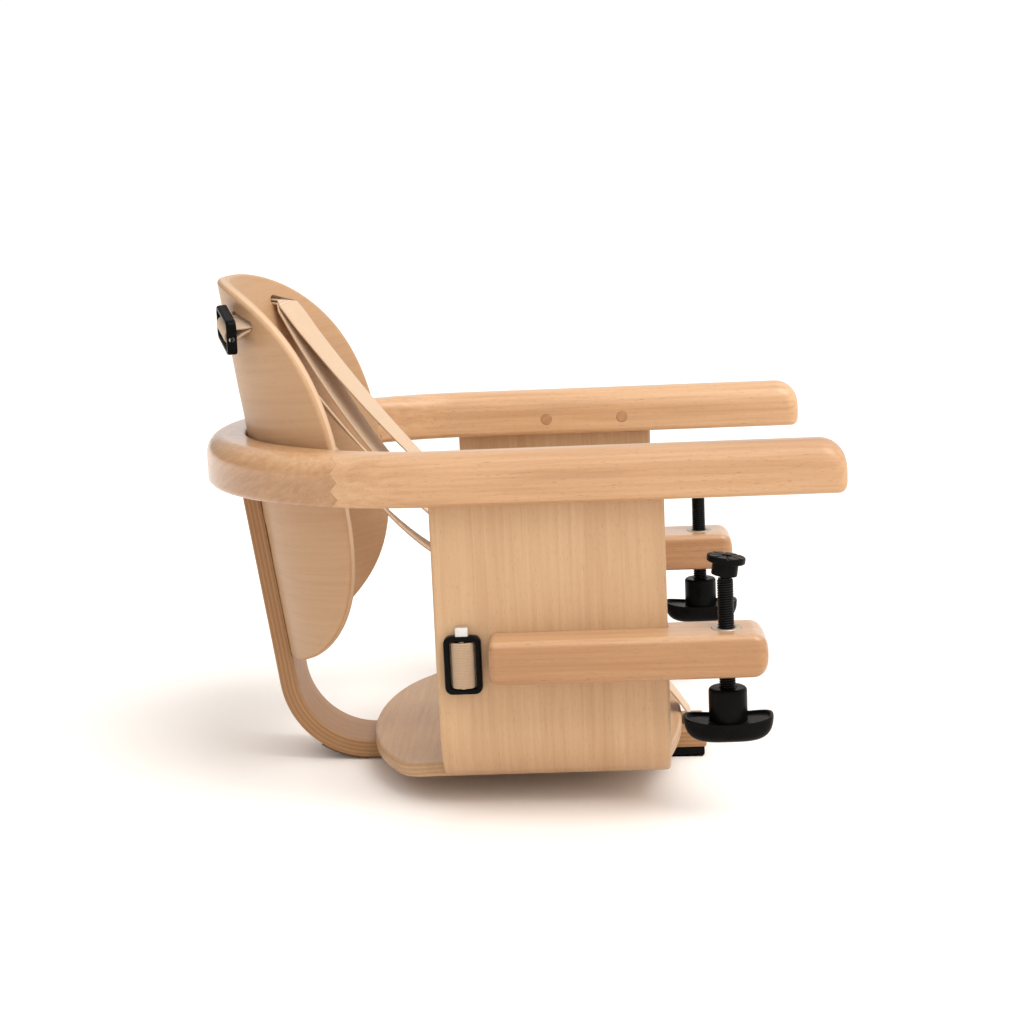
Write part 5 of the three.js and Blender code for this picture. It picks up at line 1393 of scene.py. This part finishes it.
buckle = (
    Matrix.Translation(BUCKLE_PLACE)
    @ Matrix.Rotation(-BUCKLE_PITCH, 4, "Y")
    @ Matrix(((0, 0, 1, 0), (1, 0, 0, 0), (0, 1, 0, 0), (0, 0, 0, 1)))
)
half_hole = STRAP_HOLE / 2
half_tongue = TONGUE_THICK / 2
pocket = block(
    TONGUE_INNER - BLADE_LENGTH - GAP, HOUSING_HALF[0] + PAST, -BLADE_HALF - GAP, BLADE_HALF + GAP,
    -half_tongue - GAP, half_tongue + GAP,
)
other_pocket = moved(pocket, Matrix.Scale(-1, 4, (1, 0, 0)))
well_floor = HOUSING_THICK / 2 + BUTTON_PROUD - BUTTON_THICK - BUTTON_ROOM
well = cylinder(BUTTON_RADIUS + GAP, well_floor, HOUSING_THICK, segments=56)
housing = solid("buckle_case", housing_shape(), buckle, cuts=(pocket, other_pocket, well))
piece(housing, black_plastic, ["buckle_housing"])
tab_plate = block(-TAB_HALF, TAB_HALF, TAB_LOW, TAB_ROOT - HOUSING_HALF[1], -half_tongue, half_tongue)
tab_slot = strap_slot(-half_hole, half_hole, TAB_LOW + TONGUE_BAR, TAB_LOW + TONGUE_BAR + TONGUE_SLOT)
tab = solid("buckle_tab", tab_plate, buckle, cuts=[tab_slot])
piece(bevel(tab, TAB_EDGE), black_plastic)
piece(solid("buckle_press", button_shape(), buckle), black_plastic, ["buckle_button"], "button")

slot_top = TONGUE_HIGH - TONGUE_BAR
slot_right = TONGUE_OUTER - TONGUE_BAR
tongue_slots = [
    strap_slot(SHOULDER_BAR.x - half_hole, SHOULDER_BAR.x + half_hole, slot_top - TONGUE_SLOT, slot_top),
    strap_slot(slot_right - TONGUE_SLOT, slot_right, -half_hole, half_hole),
]
for side, sign in SIDES.items():
    tongue = solid("buckle_plate_" + side, tongue_shape(), buckle, sign, tongue_slots)
    piece(bevel(tongue, TONGUE_EDGE), black_plastic, ["buckle_tongue_" + side])


# Straps: a path is a list of points, each with the strap's width direction there


def axis(matrix, number):
    return matrix.col[number].to_3d()


def layer_point(matrix, y, z):
    return matrix @ Vector((0, y, z)), axis(matrix, 0)


def wrap(matrix, half_width, depth, centre_z, start):
    """Half turn round a bar along the frame's x axis, from one side to the other."""
    path = []
    for turn in spread(0, pi, FOLD_STEPS):
        y = start * half_width * cos(turn)
        path.append(layer_point(matrix, y, centre_z + depth * sin(turn)))
    return path


def free_run(start, end, slack):
    """Free length between two strap points, hanging off the straight line by a slack vector."""
    path = []
    for share in spread(0, 1, RUN_STEPS)[1:-1]:
        place = start[0].lerp(end[0], share) + slack * 4 * share * (1 - share)
        path.append((place, start[1].lerp(end[1], share)))
    return path


def strap_loop(slot, slider, run, slot_side, tongue, tongue_side, slacks):
    """Loop from a slider's pin, through its slot, to a bar of a buckle tongue and back. The run through
    the slot is its depth, the straight lengths inside and outside, how low the strap lies in it, and half
    of the fold's breadth."""
    depth, lead, rise, drop, fold_half = run
    low = drop - slot_side * LAYER_OFFSET
    high = drop + slot_side * LAYER_OFFSET
    reach = tongue_side * BAR_WRAP
    out = [layer_point(slot, low, z) for z in (-depth - lead, -depth, rise)]
    back_in = [layer_point(slot, high, z) for z in (rise, -depth, -depth - lead)]
    first = [layer_point(tongue, reach, z) for z in (-STRAP_LEAD, -STRAP_LEAD / 2)]
    second = [layer_point(tongue, -reach, z) for z in (-STRAP_LEAD / 2, -STRAP_LEAD)]
    return [
        *out, *wrap(slider, fold_half, FOLD_DEPTH, PIN_Z, -slot_side), *back_in,
        *free_run(back_in[-1], first[0], slacks[0]),
        *first, *wrap(tongue, BAR_WRAP, BAR_WRAP, 0, tongue_side), *second,
        *free_run(second[-1], out[0], slacks[1]), out[0],
    ]


def crotch_path():
    """From between seat and spine, round the seat's front edge and up to the buckle."""
    width = Vector((0, 1, 0))
    lay_z = SPINE_TOP_Z - STRAP_THICK / 2
    edge_z = PANEL_THICK / 2 - SEAT_DROP
    radius = edge_z - lay_z
    bar = frame_of(buckle @ CROTCH_BAR, axis(buckle, 0), axis(buckle, 1))
    arrive = layer_point(bar, -BAR_WRAP, -2 * BAR_WRAP)
    path = [(Vector((SEAT_FRONT - CROTCH_GRIP, 0, lay_z)), width)]
    for turn in spread(-QUARTER, QUARTER - BUCKLE_PITCH, RUN_STEPS):
        x = SEAT_FRONT + GAP + radius * cos(turn)
        path.append((Vector((x, 0, edge_z + radius * sin(turn))), width))
    path += free_run(path[-1], arrive, axis(buckle, 2) * CROTCH_SLACK)
    path += [arrive, *wrap(bar, BAR_WRAP, BAR_WRAP, 0, -1), layer_point(bar, BAR_WRAP, -CROTCH_TAIL)]
    return path


def smooth_path(path):
    """The path as a smooth curve in short steps."""
    smooth = []
    for i in range(len(path) - 1):
        before = path[max(i - 1, 0)][0]
        start = path[i][0]
        end = path[i + 1][0]
        after = path[min(i + 2, len(path) - 1)][0]
        length = (end - start).length
        leave = (end - before).normalized() * length
        arrive = (after - start).normalized() * length
        for t in spread(0, 1, max(1, round(length / STRAP_SPACING)))[:-1]:
            place = (
                start * (2 * t**3 - 3 * t**2 + 1)
                + leave * (t**3 - 2 * t**2 + t)
                + end * (3 * t**2 - 2 * t**3)
                + arrive * (t**3 - t**2)
            )
            smooth.append((place, path[i][1].lerp(path[i + 1][1], t)))
    smooth.append(path[-1])
    return smooth


def strap(name, path, node, look, sign=1, fold=None):
    """Webbing along a path, with rounded selvages. It widens over a pin, if the slider's frame is given."""
    smooth = smooth_path(path)
    closed = (path[0][0] - path[-1][0]).length < WELD
    section = centred_rectangle(STRAP_WIDTH / 2, STRAP_THICK / 2, STRAP_THICK / 2 - HAIR, 4)
    rings = []
    grain = []
    travelled = 0
    for i, (place, width) in enumerate(smooth):
        before = smooth[-2 if closed and i == 0 else max(i - 1, 0)][0]
        after = smooth[1 if closed and i == len(smooth) - 1 else min(i + 1, len(smooth) - 1)][0]
        ahead = (after - before).normalized()
        side = (width - ahead * width.dot(ahead)).normalized()
        face = ahead.cross(side)
        if fold:
            lift = (fold.inverted() @ place).z / PIN_Z
            side *= 1 + FOLD_SPREAD * min(max(lift, 0), 1)
        rings.append([tuple(place + side * u + face * v) for u, v in section])
        travelled += (place - smooth[max(i - 1, 0)][0]).length
        grain += [(travelled, u, v) for u, v in section]
    thing = raw(name, on_side(loft(rings, caps=not closed), sign), weld=False)
    values = iter(grain)
    piece(thing, look, [node], grain=lambda point: next(values), sharp=60)


tongue_shoulder = frame_of(buckle @ SHOULDER_BAR, axis(buckle, 0), -axis(buckle, 1))
tongue_waist = frame_of(buckle @ WAIST_BAR, axis(buckle, 1), -axis(buckle, 0))
shoulder_run = (BACK_THICK, SHOULDER_LEAD, SHOULDER_RISE, SHOULDER_DROP, SHOULDER_FOLD_HALF)
waist_run = (PANEL_THICK, STRAP_LEAD, 0, 0, FOLD_HALF)
waist_slacks = [Vector(slack) for slack in WAIST_SLACK]
for side, sign in SIDES.items():
    sags = [Vector((0, 0, -sag)) for sag in SHOULDER_SAG[side]]
    path = strap_loop(back_slot, hung_slot, shoulder_run, -1, tongue_shoulder, 1, sags)
    strap("shoulder_web_" + side, path, "shoulder_strap_" + side, shoulder_web, sign)
    path = strap_loop(waist_slot, waist_slot, waist_run, 1, tongue_waist, -1, waist_slacks)
    strap("painted_shade_waist_web_" + side, path, "waist_strap_" + side, painted_shade_waist_web, sign, waist_slot)
strap("crotch_web", crotch_path(), "crotch_strap", shoulder_web)


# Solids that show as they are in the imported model

carried = {}
for side in SIDES:
    carried["swivel_cup_" + side] = black_plastic
    for node in (f"spine_screw_{side}", f"arm_screw_{side}_1", f"arm_screw_{side}_2"):
        carried[node] = zinc
for node, look in carried.items():
    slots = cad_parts[node].data.materials
    slots.clear()
    slots.append(look[0])


# Floor, tilted so that the foot and the heel both stand on it

foot_line = metres((SPINE_FRONT - FOOT_SETBACK - FOOT_LENGTH / 2, 0, FLOOR_Z))
heel_line = metres((SPINE_BEND_X, 0, SPINE_BOTTOM_Z - GAP - HEEL_THICK))
floor_tilt = atan2(foot_line.z - heel_line.z, foot_line.x - heel_line.x)
floor_mesh = bpy.data.meshes.new("floor")
floor_corners = [(FLOOR_HALF * x, FLOOR_HALF * y, 0) for x, y in ((-1, -1), (1, -1), (1, 1), (-1, 1))]
floor_mesh.from_pydata(floor_corners, [], [(0, 1, 2, 3)])
floor = bpy.data.objects.new("floor", floor_mesh)
floor.location = foot_line - Vector((0, 0, FLOOR_DROP))
floor.rotation_euler = (0, -floor_tilt, 0)
bpy.context.collection.objects.link(floor)
floor_surface = {"Base Color": FLOOR_COLOUR, "Roughness": 0.9, "Specular IOR Level": 0.1}
floor_mesh.materials.append(Shader("floor_paint", floor_surface).material)


# Soft white surroundings, brighter above and to the right, with a white backdrop behind the seat

world = bpy.data.worlds.new("studio")
bpy.context.scene.world = world
world.use_nodes = True
sky = world.node_tree
direction = add_node(sky, "TexCoord", {}).outputs["Generated"]
slope = add_node(sky, "VectorMath", {0: direction, 1: SKY_SLOPE}, operation="DOT_PRODUCT").outputs["Value"]
level = add_node(sky, "Math", {0: slope, 1: SKY_LEVEL}, operation="ADD").outputs[0]
level = add_node(sky, "Math", {0: level, 1: SKY_LEAST}, operation="MAXIMUM").outputs[0]
behind = add_node(sky, "SeparateXYZ", {0: direction}).outputs["Y"]
backdrop = add_node(sky, "MapRange", {0: behind, 1: BACKDROP_FROM[0], 2: BACKDROP_FROM[1]}).outputs[0]
strength = add_node(sky, "Mix", {0: backdrop, 2: level, 3: BACKDROP}).outputs[0]
background = sky.nodes["Background"].inputs
sky.links.new(strength, background["Strength"])
background["Color"].default_value = (1, 1, 1, 1)

sun = bpy.data.lights.new("key", "SUN")
sun.energy = KEY_STRENGTH
sun.angle = radians(KEY_SOFTNESS)
key = bpy.data.objects.new("key", sun)
key.rotation_euler = (-Vector(KEY_FROM)).to_track_quat("-Z", "Y").to_euler()
bpy.context.collection.objects.link(key)


# Camera

base = Matrix(((1, 0, 0), (0, 0, -1), (0, 1, 0)))
turn = (
    Matrix.Rotation(radians(CAMERA_YAW), 3, "Y")
    @ Matrix.Rotation(radians(CAMERA_PITCH), 3, "X")
    @ Matrix.Rotation(radians(CAMERA_ROLL), 3, "Z")
    @ base
)
lens = bpy.data.cameras.new("camera")
lens.sensor_width = SENSOR
lens.lens = CAMERA_FOCUS * SENSOR / FRAME_PIXELS
lens.clip_start = 0.01
lens.clip_end = 100
camera = bpy.data.objects.new("camera", lens)
camera.matrix_world = Matrix((turn[0], -turn[1], -turn[2])).transposed().to_4x4()
camera.location = metres(CAMERA_PLACE)
bpy.context.collection.objects.link(camera)
bpy.context.scene.camera = camera
bpy.context.scene.view_settings.view_transform = "Standard"
